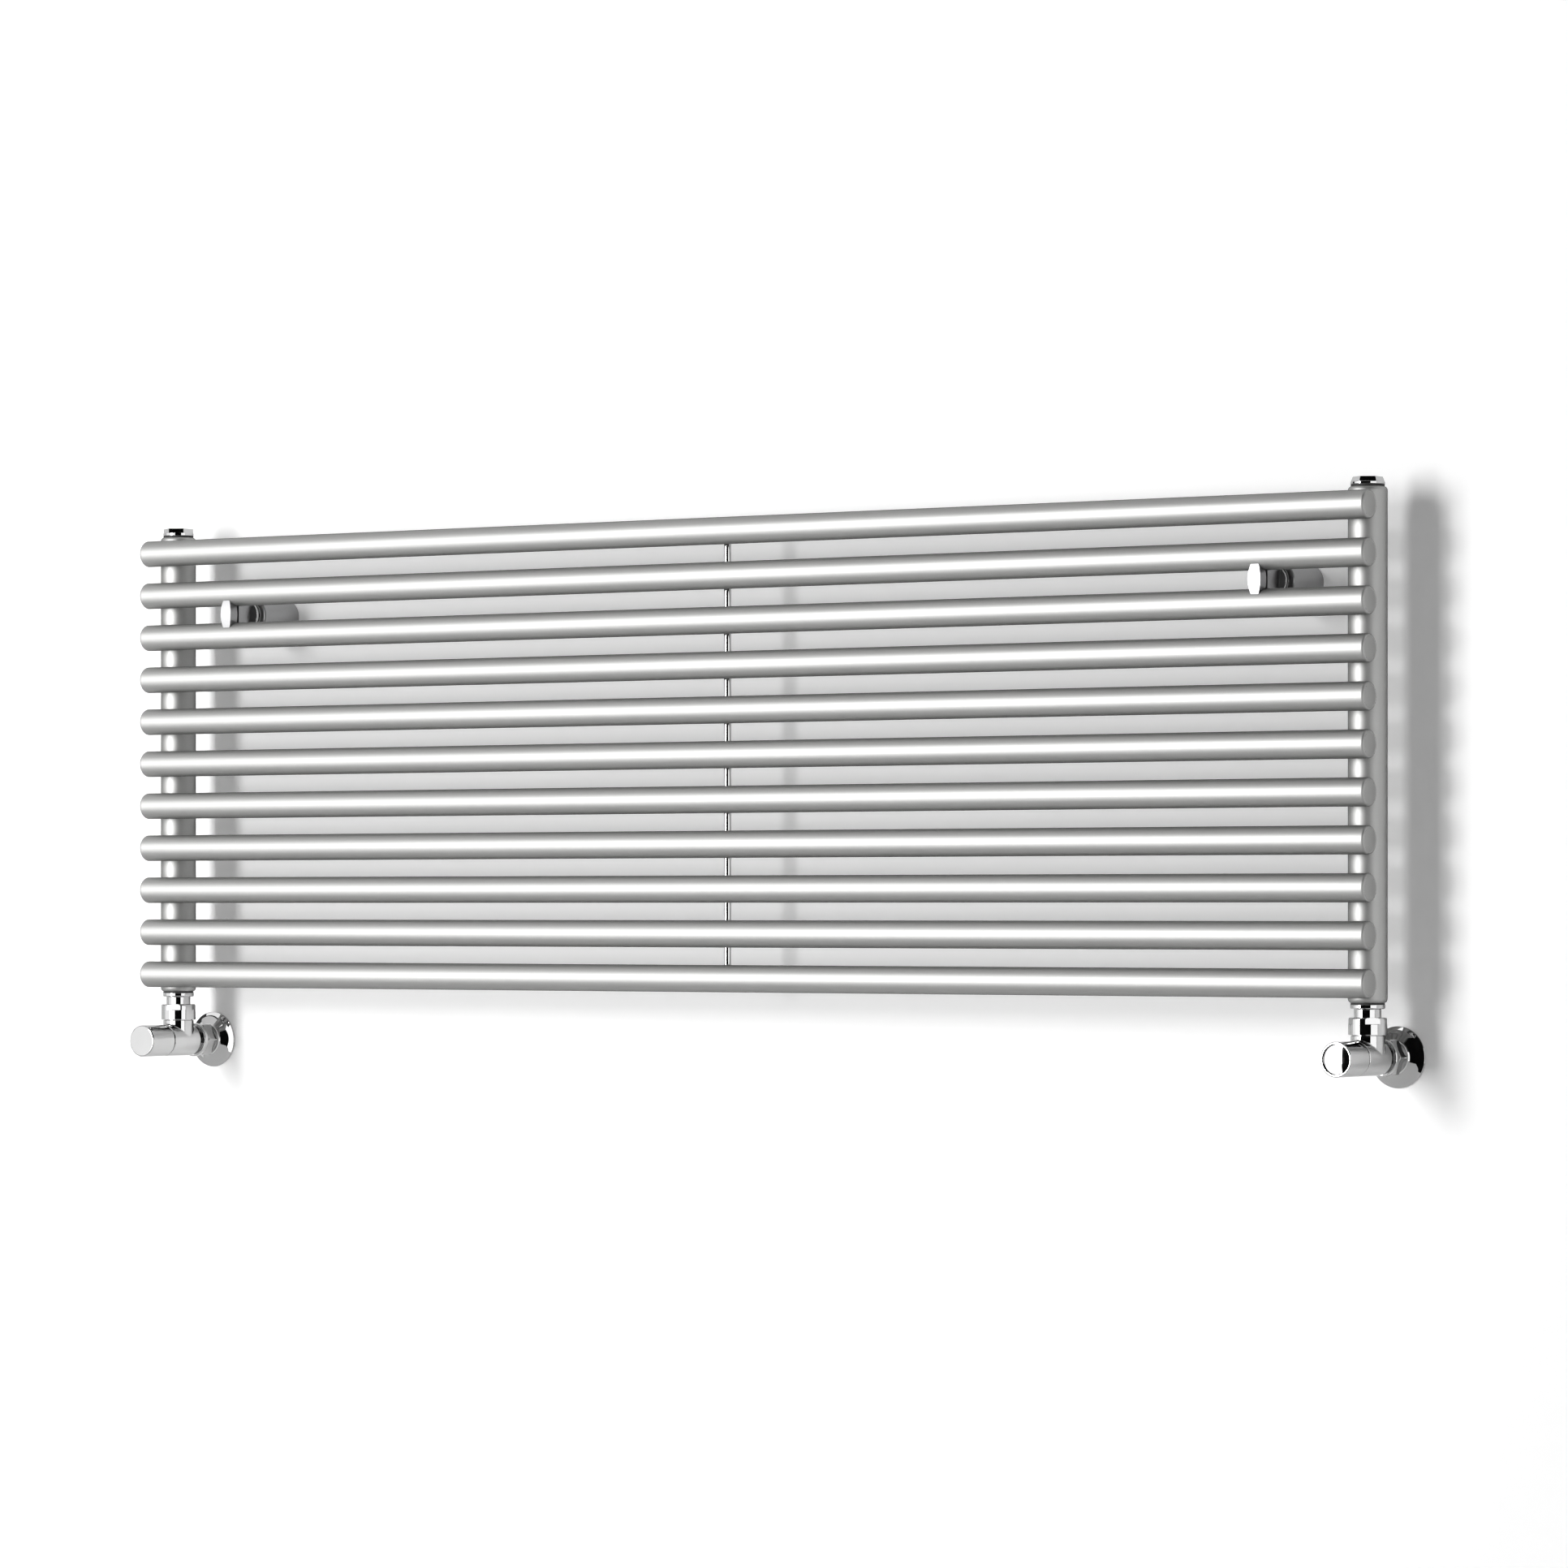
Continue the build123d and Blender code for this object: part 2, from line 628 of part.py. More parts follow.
    # Stem: a threaded barrel with a square socket, and the disc that carries the washer
    with BuildPart() as valve_stem:
        with BuildSketch(facing_plane(x, collector_y - disc_back, valve_z)):
            Circle(STEM_DISC_DIAMETER / 2)
        extrude(amount=STEM_DISC)
        with BuildSketch(facing_plane(x, collector_y - stem_back, valve_z)):
            Circle(stem_radius)
        extrude(amount=STEM_LENGTH)
        with BuildSketch(facing_plane(x, collector_y - socket_floor, valve_z)):
            Rectangle(STUB_SQUARE + 2 * SQUARE_CLEARANCE, STUB_SQUARE + 2 * SQUARE_CLEARANCE)
        extrude(amount=STEM_SOCKET, mode=Mode.SUBTRACT)
    keep(valve_stem, f"valve_stem_{side}")

    with BuildPart() as stem_washer:
        with BuildSketch(facing_plane(x, collector_y - washer_back, valve_z)):
            Circle(STEM_WASHER_DIAMETER / 2)
        extrude(amount=STEM_WASHER)
    keep(stem_washer, f"stem_washer_{side}")

    # Compression nut: a round collar, then a chamfered hexagon with a lip behind the olive
    hex_radius = pipe_spigot + COMPRESSION_NUT_WALL
    with BuildPart() as compression_nut:
        with BuildSketch(facing_plane(x, collector_y - nut_back, valve_z)):
            RegularPolygon(hex_radius, 6, major_radius=False)
        extrude(amount=COMPRESSION_NUT_LENGTH - COMPRESSION_COLLAR)
        with BuildSketch(facing_plane(x, collector_y - nut_front + COMPRESSION_COLLAR, valve_z)):
            Circle(COMPRESSION_COLLAR_DIAMETER / 2)
        extrude(amount=COMPRESSION_COLLAR)
        turn(
            [
                (nut_front, 0),
                (nut_front, pipe_spigot + THREAD_CLEARANCE),
                (olive_back, pipe_spigot + THREAD_CLEARANCE),
                (olive_back, pipe_bore),
                (nut_back, pipe_bore),
                (nut_back, 0),
            ],
            valve_plane,
            valve_axis,
            mode=Mode.SUBTRACT,
        )
    keep(compression_nut, f"compression_nut_{side}")

    # Rosette: a sheet with a straight hub, a flare and a sloping band that ends on the wall
    rim_radius = ROSETTE_DIAMETER / 2
    crown_radius = ROSETTE_CROWN / 2
    flare_radius = rim_radius - ROSETTE_BAND
    hub_foot = nut_back - ROSETTE_HUB
    flare_foot = wall_place + ROSETTE_RIM + ROSETTE_BAND_RISE
    with BuildPart() as rosette:
        turn(
            [
                (nut_back, ROSETTE_HOLE / 2),
                (nut_back, crown_radius),
                (hub_foot, crown_radius),
                (flare_foot, flare_radius),
                (wall_place + ROSETTE_RIM, rim_radius),
                (wall_place, rim_radius),
                (wall_place, rim_radius - ROSETTE_SHEET),
                (flare_foot - ROSETTE_SHEET, flare_radius),
                (hub_foot - ROSETTE_SHEET, crown_radius - ROSETTE_SHEET),
                (nut_back - ROSETTE_SHEET, crown_radius - ROSETTE_SHEET),
                (nut_back - ROSETTE_SHEET, ROSETTE_HOLE / 2),
            ],
            valve_plane,
            valve_axis,
        )
    keep(rosette, f"rosette_{side}")

# Handwheel: a turned shell with a web, a square socket and a recess for the face disc
right_plane = outward_plane(side_x["right"], collector_y, valve_z)
right_axis = outward_axis(side_x["right"], collector_y, valve_z)
with BuildPart() as handwheel:
    turn(
        [
            (knob_back, body_radius - KNOB_WALL),
            (knob_back, body_radius),
            (knob_front - KNOB_ROUNDING, body_radius),
            (knob_front, body_radius - KNOB_ROUNDING),
            (knob_front, body_radius - FACE_RIM),
            (face_seat, body_radius - FACE_RIM),
            (face_seat, 0),
            (web_back, 0),
            (web_back, body_radius - KNOB_WALL),
        ],
        right_plane,
        right_axis,
    )
    with BuildSketch(facing_plane(side_x["right"], collector_y - web_back, valve_z)):
        Rectangle(STUB_SQUARE + 2 * LOOSE_CLEARANCE, STUB_SQUARE + 2 * LOOSE_CLEARANCE)
    extrude(amount=stub_front - web_back, mode=Mode.SUBTRACT)
    with BuildSketch(facing_plane(side_x["right"], collector_y - stub_front, valve_z)):
        Circle(HANDWHEEL_SCREW_DIAMETER / 2 + LOOSE_CLEARANCE)
    extrude(amount=face_seat - stub_front, mode=Mode.SUBTRACT)
    with BuildSketch(facing_plane(side_x["right"], collector_y - face_seat, valve_z)):
        Circle(HANDWHEEL_SCREW_HEAD_DIAMETER / 2 + LOOSE_CLEARANCE)
    extrude(amount=-HANDWHEEL_SCREW_HEAD - LOOSE_CLEARANCE, mode=Mode.SUBTRACT)
keep(handwheel, "handwheel")

with BuildPart() as handwheel_face:
    with BuildSketch(facing_plane(side_x["right"], collector_y - face_seat, valve_z)):
        Circle(body_radius - FACE_RIM - LOOSE_CLEARANCE)
    extrude(amount=FACE_DISC)
    chamfer(handwheel_face.faces().sort_by(Axis.Y)[0].edges(), LIP_CLEARANCE)
keep(handwheel_face, "handwheel_face")

screw_seat = face_seat - HANDWHEEL_SCREW_HEAD - LOOSE_CLEARANCE
with BuildPart() as handwheel_screw:
    with BuildSketch(facing_plane(side_x["right"], collector_y - screw_seat, valve_z)):
        Circle(HANDWHEEL_SCREW_HEAD_DIAMETER / 2)
    extrude(amount=HANDWHEEL_SCREW_HEAD)
    with BuildSketch(facing_plane(side_x["right"], collector_y - screw_seat, valve_z)):
        Circle(HANDWHEEL_SCREW_DIAMETER / 2)
    extrude(amount=stub_front - HANDWHEEL_SCREW_BITE + LOOSE_CLEARANCE - screw_seat)
keep(handwheel_screw, "handwheel_screw")

# Cover cap: a plain turned cap that pushes over the lockshield's hexagon
left_plane = outward_plane(side_x["left"], collector_y, valve_z)
left_axis = outward_axis(side_x["left"], collector_y, valve_z)
cap_bore = HEADWORK_HEX_CORNERS / 2 + COVER_CAP_GRIP
with BuildPart() as cover_cap:
    turn(
        [
            (knob_back, cap_bore),
            (knob_back, body_radius),
            (knob_front - KNOB_ROUNDING, body_radius),
            (knob_front, body_radius - KNOB_ROUNDING),
            (knob_front, 0),
            (cap_seat, 0),
            (cap_seat, cap_bore),
        ],
        left_plane,
        left_axis,
    )
keep(cover_cap, "cover_cap")

# Wall brackets, clamped between two tubes
saddle_radius = tube_radius + LOOSE_CLEARANCE
for side, x in bracket_x.items():
    bracket_plane = outward_plane(x, 0, 0)
    bracket_axis = outward_axis(x, 0, 0)

    # Wall cup with a screw hole in its base and a threaded hole for the grub screw
    with BuildPart() as wall_cup:
        turn(
            [
                (0, WALL_SCREW_HOLE / 2),
                (0, CUP_DIAMETER / 2),
                (CUP_LENGTH - CUP_CHAMFER, CUP_DIAMETER / 2),
                (CUP_LENGTH, CUP_DIAMETER / 2 - CUP_CHAMFER),
                (CUP_LENGTH, cup_bore),
                (CUP_BASE, cup_bore),
                (CUP_BASE, WALL_SCREW_HOLE / 2),
            ],
            bracket_plane,
            bracket_axis,
        )
        with BuildSketch(Plane((x, -(CUP_LENGTH - GRUB_SCREW_PLACE), 0))):
            Circle(GRUB_SCREW_DIAMETER / 2 + THREAD_CLEARANCE)
        extrude(amount=-CUP_DIAMETER, mode=Mode.SUBTRACT)
    keep(wall_cup, f"wall_cup_{side}")

    # Threaded collar with grooves where it shows between the cup and the clamp
    with BuildPart() as bracket_collar:
        turn(
            [
                (collar_back, stud_radius + THREAD_CLEARANCE),
                (collar_back, collar_radius),
                (clamp_seat_back - 2 * COLLAR_RING, collar_radius),
                (clamp_seat_back - 2 * COLLAR_RING, collar_radius - COLLAR_GROOVE_DEPTH),
                (clamp_seat_back - COLLAR_RING, collar_radius - COLLAR_GROOVE_DEPTH),
                (clamp_seat_back - COLLAR_RING, collar_radius),
                (clamp_seat_back, collar_radius),
                (clamp_seat_back, stud_radius + THREAD_CLEARANCE),
            ],
            bracket_plane,
            bracket_axis,
        )
    keep(bracket_collar, f"bracket_collar_{side}")

    # Rear clamp seat with a saddle for the tube above and the tube below
    with BuildPart() as clamp_seat:
        with BuildSketch(bracket_plane):
            with BuildLine():
                Polyline(
                    (clamp_seat_back, -CLAMP_HEIGHT / 2),
                    (clamp_seat_front, -CLAMP_HEIGHT / 2),
                    (clamp_seat_front, CLAMP_HEIGHT / 2),
                    (clamp_seat_back, CLAMP_HEIGHT / 2),
                    close=True,
                )
            make_face()
            with Locations((WALL_TO_TUBE, TUBE_PITCH / 2), (WALL_TO_TUBE, -TUBE_PITCH / 2)):
                Circle(saddle_radius, mode=Mode.SUBTRACT)
        extrude(amount=CLAMP_WIDTH / 2, both=True)
        with BuildSketch(facing_plane(x, -clamp_seat_back, 0)):
            Circle(stud_radius + LOOSE_CLEARANCE)
        extrude(amount=clamp_seat_front - clamp_seat_back, mode=Mode.SUBTRACT)
    keep(clamp_seat, f"clamp_seat_{side}")

    # Front clamp cap: crowned face, saddles behind it, sides drawn in to a barrel shape
    crown_edge = clamp_cap_front - CLAMP_CAP_CROWN
    half_height = CLAMP_HEIGHT / 2
    half_width = CLAMP_WIDTH / 2
    end_width = half_width - CLAMP_CAP_BARREL
    with BuildPart() as clamp_cap:
        with BuildSketch(bracket_plane):
            with BuildLine():
                Polyline(
                    (crown_edge, -half_height),
                    (clamp_cap_back, -half_height),
                    (clamp_cap_back, half_height),
                    (crown_edge, half_height),
                )
                ThreePointArc(
                    (crown_edge, half_height),
                    (clamp_cap_front, 0),
                    (crown_edge, -half_height),
                )
            make_face()
            with Locations((WALL_TO_TUBE, TUBE_PITCH / 2), (WALL_TO_TUBE, -TUBE_PITCH / 2)):
                Circle(saddle_radius, mode=Mode.SUBTRACT)
        extrude(amount=half_width, both=True)
        with BuildSketch(facing_plane(x, -clamp_cap_back, 0)):
            with BuildLine():
                ThreePointArc((end_width, -half_height), (half_width, 0), (end_width, half_height))
                Line((end_width, half_height), (-end_width, half_height))
                ThreePointArc((-end_width, half_height), (-half_width, 0), (-end_width, -half_height))
                Line((-end_width, -half_height), (end_width, -half_height))
            make_face()
        extrude(amount=clamp_cap_front - clamp_cap_back, mode=Mode.INTERSECT)
        with BuildSketch(facing_plane(x, -clamp_cap_back, 0)):
            Circle(stud_radius + THREAD_CLEARANCE)
        extrude(amount=CLAMP_STUD_BITE, mode=Mode.SUBTRACT)
    keep(clamp_cap, f"clamp_cap_{side}")

    # Stud that draws the clamp cap onto the seat
    with BuildPart() as clamp_stud:
        with BuildSketch(facing_plane(x, -stud_front, 0)):
            Circle(stud_radius)
        extrude(amount=-CLAMP_STUD_LENGTH)
    keep(clamp_stud, f"clamp_stud_{side}")

# Grub screws that hold the collars in their cups
with BuildPart() as grub_screws:
    for x in bracket_x.values():
        with BuildSketch(Plane((x, -(CUP_LENGTH - GRUB_SCREW_PLACE), -cup_bore))):
            Circle(GRUB_SCREW_DIAMETER / 2)
        extrude(amount=-CUP_WALL + LOOSE_CLEARANCE)
keep(grub_screws, "grub_screws")
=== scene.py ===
"""Tubular wall radiator with a hand valve and a lockshield valve, dressed for a plain studio.

Sizes are in millimetres in the frame of the solids: X along the tubes, Y into the wall, Z up.
Every finished piece is handed over in metres, with its place in its mesh.
"""

from __future__ import annotations

import logging
import math
from dataclasses import dataclass
from enum import Enum
from typing import ClassVar, Sequence

import bmesh
import bpy
from mathutils import Matrix, Vector

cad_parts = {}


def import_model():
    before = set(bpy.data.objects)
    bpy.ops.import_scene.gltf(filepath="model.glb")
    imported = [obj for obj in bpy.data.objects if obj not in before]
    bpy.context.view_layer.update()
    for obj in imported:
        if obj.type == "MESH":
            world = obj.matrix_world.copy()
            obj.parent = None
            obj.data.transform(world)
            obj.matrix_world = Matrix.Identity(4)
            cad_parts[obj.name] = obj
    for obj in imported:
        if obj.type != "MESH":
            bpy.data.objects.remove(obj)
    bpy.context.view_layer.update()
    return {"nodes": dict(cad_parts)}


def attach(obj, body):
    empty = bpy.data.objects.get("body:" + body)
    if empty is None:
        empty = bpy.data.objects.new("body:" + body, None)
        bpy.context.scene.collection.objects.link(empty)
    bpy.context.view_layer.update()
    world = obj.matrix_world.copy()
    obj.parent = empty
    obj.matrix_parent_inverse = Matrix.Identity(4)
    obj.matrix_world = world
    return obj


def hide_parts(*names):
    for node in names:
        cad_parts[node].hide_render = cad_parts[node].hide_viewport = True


LOG = logging.getLogger("radiator")
MILLIMETRE = 0.001
ROUNDING_STEPS = 5
EDGE_STEPS = 3
HEXAGON_SIDES = 6
MERGE_DISTANCE = 1e-5
WELD_DISTANCE = 1e-3
SHARP_ANGLE = math.radians(33.0)
EASED_ANGLE = math.radians(40.0)
TONE_DETAIL = 4.0
GRAIN_DETAIL = 3.0

Triple = tuple[float, float, float]
Shape = bmesh.types.BMesh
Placed = tuple[Shape, Matrix]


class Side(Enum):
    """The two ends of the radiator, as seen from the room."""

    LEFT = "left"
    RIGHT = "right"

    @property
    def sign(self) -> int:
        """Direction of this end along X."""
        return -1 if self is Side.LEFT else 1

    def node(self, name: str) -> str:
        """Name of this end's node."""
        return f"{name}_{self.value}"


class Slot(Enum):
    """Material slots of the record."""

    SILVER_PAINT = "silver_paint"
    CHROME = "chrome"
    BLACK_RUBBER = "black_rubber"
    BRASS = "brass"
    SATIN_STEEL = "satin_steel"


@dataclass(frozen=True)
class Finish:
    """A procedural finish: tone, gloss and grain vary with place on the piece.

    Attributes:
        slot: Material slot that the finish belongs to.
        light: Lighter tone of the surface.
        dark: Darker tone of the surface.
        gloss_low: Lowest roughness.
        gloss_high: Highest roughness.
        tone_scale: Tone patches per metre.
        grain_scale: Grain marks per metre.
        grain_height: Height of the grain in metres.
        metallic: Metallic share of the shader.
        stretch: Stretch of the grain along X, Y and Z.
        rim: Tone of the metal where it is seen at a low angle.
    """

    slot: Slot
    light: Triple
    dark: Triple
    gloss_low: float
    gloss_high: float
    tone_scale: float
    grain_scale: float
    grain_height: float = 0.0
    metallic: float = 1.0
    stretch: Triple = (1.0, 1.0, 1.0)
    rim: Triple = (1.0, 1.0, 1.0)

    def material(self) -> bpy.types.Material:
        """Builds the node material.

        Returns:
            The material, named after its slot.
        """
        material = bpy.data.materials.new(f"{self.slot.value}_finish")
        material.use_nodes = True
        nodes = material.node_tree.nodes
        link = material.node_tree.links.new
        shader = nodes["Principled BSDF"]
        shader.inputs["Metallic"].default_value = self.metallic
        shader.inputs["Specular Tint"].default_value = (*self.rim, 1.0)

        place = nodes.new("ShaderNodeTexCoord")
        stretch = nodes.new("ShaderNodeMapping")
        stretch.inputs["Scale"].default_value = self.stretch
        link(place.outputs["Object"], stretch.inputs["Vector"])

        patches = nodes.new("ShaderNodeTexNoise")
        patches.inputs["Scale"].default_value = self.tone_scale
        patches.inputs["Detail"].default_value = TONE_DETAIL
        link(place.outputs["Object"], patches.inputs["Vector"])
        tone = nodes.new("ShaderNodeMix")
        tone.data_type = "RGBA"
        tone.inputs["A"].default_value = (*self.dark, 1.0)
        tone.inputs["B"].default_value = (*self.light, 1.0)
        link(patches.outputs["Fac"], tone.inputs["Factor"])
        link(tone.outputs["Result"], shader.inputs["Base Color"])

        grain = nodes.new("ShaderNodeTexNoise")
        grain.inputs["Scale"].default_value = self.grain_scale
        grain.inputs["Detail"].default_value = GRAIN_DETAIL
        link(stretch.outputs["Vector"], grain.inputs["Vector"])
        gloss = nodes.new("ShaderNodeMapRange")
        gloss.inputs["To Min"].default_value = self.gloss_low
        gloss.inputs["To Max"].default_value = self.gloss_high
        link(grain.outputs["Fac"], gloss.inputs["Value"])
        link(gloss.outputs["Result"], shader.inputs["Roughness"])

        if self.grain_height > 0.0:
            relief = nodes.new("ShaderNodeBump")
            relief.inputs["Distance"].default_value = self.grain_height
            link(grain.outputs["Fac"], relief.inputs["Height"])
            link(relief.outputs["Normal"], shader.inputs["Normal"])
        return material


FINISHES: tuple[Finish, ...] = (
    Finish(
        slot=Slot.SILVER_PAINT,
        light=(0.40, 0.40, 0.395),
        dark=(0.355, 0.355, 0.35),
        gloss_low=0.49,
        gloss_high=0.57,
        tone_scale=1800.0,
        grain_scale=900.0,
        grain_height=0.000006,
        rim=(0.03, 0.03, 0.03),
    ),
    Finish(
        slot=Slot.CHROME,
        light=(0.53, 0.53, 0.53),
        dark=(0.48, 0.48, 0.48),
        gloss_low=0.015,
        gloss_high=0.04,
        tone_scale=60.0,
        grain_scale=140.0,
        rim=(0.6, 0.6, 0.6),
    ),
    Finish(
        slot=Slot.BLACK_RUBBER,
        light=(0.022, 0.022, 0.022),
        dark=(0.010, 0.010, 0.010),
        metallic=0.0,
        gloss_low=0.55,
        gloss_high=0.75,
        tone_scale=900.0,
        grain_scale=2500.0,
        grain_height=0.00004,
    ),
    Finish(
        slot=Slot.BRASS,
        light=(0.74, 0.57, 0.30),
        dark=(0.60, 0.44, 0.21),
        gloss_low=0.18,
        gloss_high=0.32,
        tone_scale=220.0,
        grain_scale=700.0,
        grain_height=0.00001,
        stretch=(1.0, 6.0, 1.0),
    ),
    Finish(
        slot=Slot.SATIN_STEEL,
        light=(0.40, 0.40, 0.405),
        dark=(0.34, 0.34, 0.345),
        gloss_low=0.30,
        gloss_high=0.40,
        tone_scale=900.0,
        grain_scale=1500.0,
    ),
)


@dataclass(frozen=True)
class Corner:
    """A corner of a turned outline.

    Attributes:
        along: Place along the turning axis.
        radius: Distance from the axis.
        ease: Length that a rounding takes off both of its edges.
    """

    along: float
    radius: float
    ease: float = 0.0


def upright(x: float, y: float, z: float = 0.0) -> Matrix:
    """Places a shape with its axis upright.

    Args:
        x: Place along the tubes.
        y: Place towards the wall.
        z: Height of the shape's origin.

    Returns:
        The placement, from millimetres to metres.
    """
    scale = Matrix.Scale(MILLIMETRE, 4)
    return scale @ Matrix.Translation((x, y, z))


def outward(x: float, y: float, z: float) -> Matrix:
    """Places a shape with its axis out of the wall, and its own Y axis up.

    Args:
        x: Place along the tubes.
        y: Place towards the wall.
        z: Height of the shape's origin.

    Returns:
        The placement, from millimetres to metres.
    """
    return upright(x, y, z) @ Matrix.Rotation(math.pi / 2, 4, "X")


def lengthwise(y: float, z: float) -> Matrix:
    """Places a shape with its axis along the tubes.

    Args:
        y: Place towards the wall.
        z: Height of the shape's origin.

    Returns:
        The placement, from millimetres to metres.
    """
    return upright(0.0, y, z) @ Matrix.Rotation(math.pi / 2, 4, "Y")


def turned(steps: int, *corners: Corner) -> Shape:
    """Turns an outline about the Z axis.

    Args:
        steps: Steps of a full turn.
        corners: The outline, in order. It is closed unless it starts on the axis.

    Returns:
        The closed shape.
    """
    shape = bmesh.new()
    points = [shape.verts.new((corner.radius, 0.0, corner.along)) for corner in corners]
    for start, end in zip(points, points[1:]):
        shape.edges.new((start, end))
    if corners[0].radius > 0.0:
        shape.edges.new((points[-1], points[0]))
    for point, corner in zip(points, corners):
        if corner.ease > 0.0:
            bmesh.ops.bevel(
                shape,
                geom=[point],
                offset=corner.ease,
                offset_type="OFFSET",
                affect="VERTICES",
                segments=ROUNDING_STEPS,
                profile=0.5,
                material=-1,
            )
    bmesh.ops.spin(
        shape,
        geom=shape.verts[:] + shape.edges[:],
        axis=(0.0, 0.0, 1.0),
        cent=(0.0, 0.0, 0.0),
        angle=math.tau,
        steps=steps,
        use_merge=True,
    )
    bmesh.ops.remove_doubles(shape, verts=shape.verts[:], dist=MERGE_DISTANCE)
    bmesh.ops.recalc_face_normals(shape, faces=shape.faces[:])
    return shape


def round_edges(
    shape: Shape,
    edges: Sequence[bmesh.types.BMEdge],
    width: float,
    clamp: bool = False,
) -> None:
    """Rounds edges of a shape.

    Args:
        shape: Shape to work on.
        edges: Its edges to round.
        width: Width of the rounding.
        clamp: True narrows a rounding that would run into another.
    """
    bmesh.ops.bevel(
        shape,
        geom=edges,
        offset=width,
        affect="EDGES",
        segments=EDGE_STEPS,
        profile=0.5,
        clamp_overlap=clamp,
        material=-1,
    )
    bmesh.ops.recalc_face_normals(shape, faces=shape.faces[:])


def hexagon(corners_low: float, corners_high: float, height: float, ease: float) -> Shape:
    """Makes a hexagon that stands on the level plane, with a corner towards +X.

    Args:
        corners_low: Distance across its lower corners.
        corners_high: Distance across its upper corners.
        height: Height of the hexagon.
        ease: Width of its eased edges.

    Returns:
        The closed shape.
    """
    shape = bmesh.new()
    bmesh.ops.create_cone(
        shape,
        cap_ends=True,
        segments=HEXAGON_SIDES,
        radius1=corners_low / 2,
        radius2=corners_high / 2,
        depth=height,
    )
    bmesh.ops.rotate(shape, verts=shape.verts[:], matrix=Matrix.Rotation(math.pi / 2, 3, "Z"))
    bmesh.ops.translate(shape, verts=shape.verts[:], vec=(0.0, 0.0, height / 2))
    round_edges(shape, shape.edges[:], ease)
    return shape


class Workshop:
    """Hands finished shapes over to the frame and keeps the materials."""

    def __init__(self, nodes: dict[str, bpy.types.Object]) -> None:
        """Makes the materials.

        Args:
            nodes: Objects of the frame by node name.
        """
        self.nodes = nodes
        self.materials = {finish.slot: finish.material() for finish in FINISHES}

    def hand_over(
        self,
        shapes: Sequence[Placed],
        slot: Slot,
        nodes: Sequence[str],
        body: str = "radiator",
    ) -> None:
        """Joins shapes into one piece that stands for nodes of the frame.

        Args:
            shapes: Shapes with their placements.
            slot: Material slot of the piece.
            nodes: Nodes that the piece stands for. The first one names it.
            body: Body that the piece rides on.
        """
        mesh = bpy.data.meshes.new(f"{nodes[0]}_finished")
        whole = bmesh.new()
        for shape, placement in shapes:
            bmesh.ops.transform(shape, matrix=placement, verts=shape.verts[:])
            part = bpy.data.meshes.new("part")
            shape.to_mesh(part)
            shape.free()
            whole.from_mesh(part)
            bpy.data.meshes.remove(part)
        whole.to_mesh(mesh)
        whole.free()
        mesh.materials.append(self.materials[slot])
        mesh.shade_smooth()
        mesh.set_sharp_from_angle(angle=SHARP_ANGLE)
        piece = bpy.data.objects.new(f"{nodes[0]}_finished", mesh)
        bpy.context.scene.collection.objects.link(piece)
        even = piece.modifiers.new("even_shading", "WEIGHTED_NORMAL")
        even.keep_sharp = True
        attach(piece, body)
        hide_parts(*nodes)
        LOG.info("%s: %d faces, on %s", piece.name, len(mesh.polygons), body)

    def dress(self, node: str, slot: Slot) -> None:
        """Gives a node that keeps its own shape a finish.

        Args:
            node: Name of the node.
            slot: Material slot of the finish.
        """
        mesh = self.nodes[node].data
        mesh.materials.clear()
        mesh.materials.append(self.materials[slot])
        LOG.info("%s: dressed in %s", node, slot.value)


@dataclass
class TubeBank:
    """The horizontal tubes with their closed ends."""

    count: int = 11
    diameter: float = 22.0
    length: float = 1200.0
    pitch: float = 36.0
    top: float = 54.0
    y: float = -70.0
    end_rounding: float = 2.0
    seam_radius: float = 8.8
    seam: float = 0.6
    steps: int = 96

    def build(self, workshop: Workshop) -> None:
        """Makes every tube as a piece of its own.

        Args:
            workshop: Workshop that takes the pieces.
        """
        half = self.length / 2
        radius = self.diameter / 2
        outline = [
            Corner(-half, 0.0),
            *self.end_seam(-half, 1.0),
            Corner(-half, radius, self.end_rounding),
            Corner(half, radius, self.end_rounding),
            *reversed(self.end_seam(half, -1.0)),
            Corner(half, 0.0),
        ]
        for index in range(self.count):
            tube = turned(self.steps, *outline)
            placement = lengthwise(self.y, self.top - index * self.pitch)
            node = f"tube_{index + 1:02d}"
            workshop.hand_over([(tube, placement)], Slot.SILVER_PAINT, [node])

    def end_seam(self, end: float, inward: float) -> list[Corner]:
        """Lists the fine groove where a closed end meets its tube.

        Args:
            end: Place of the end.
            inward: Direction into the tube along its axis.

        Returns:
            Corners from the inside out.
        """
        return [
            Corner(end, self.seam_radius - self.seam),
            Corner(end + inward * self.seam / 2, self.seam_radius),
            Corner(end, self.seam_radius + self.seam),
        ]


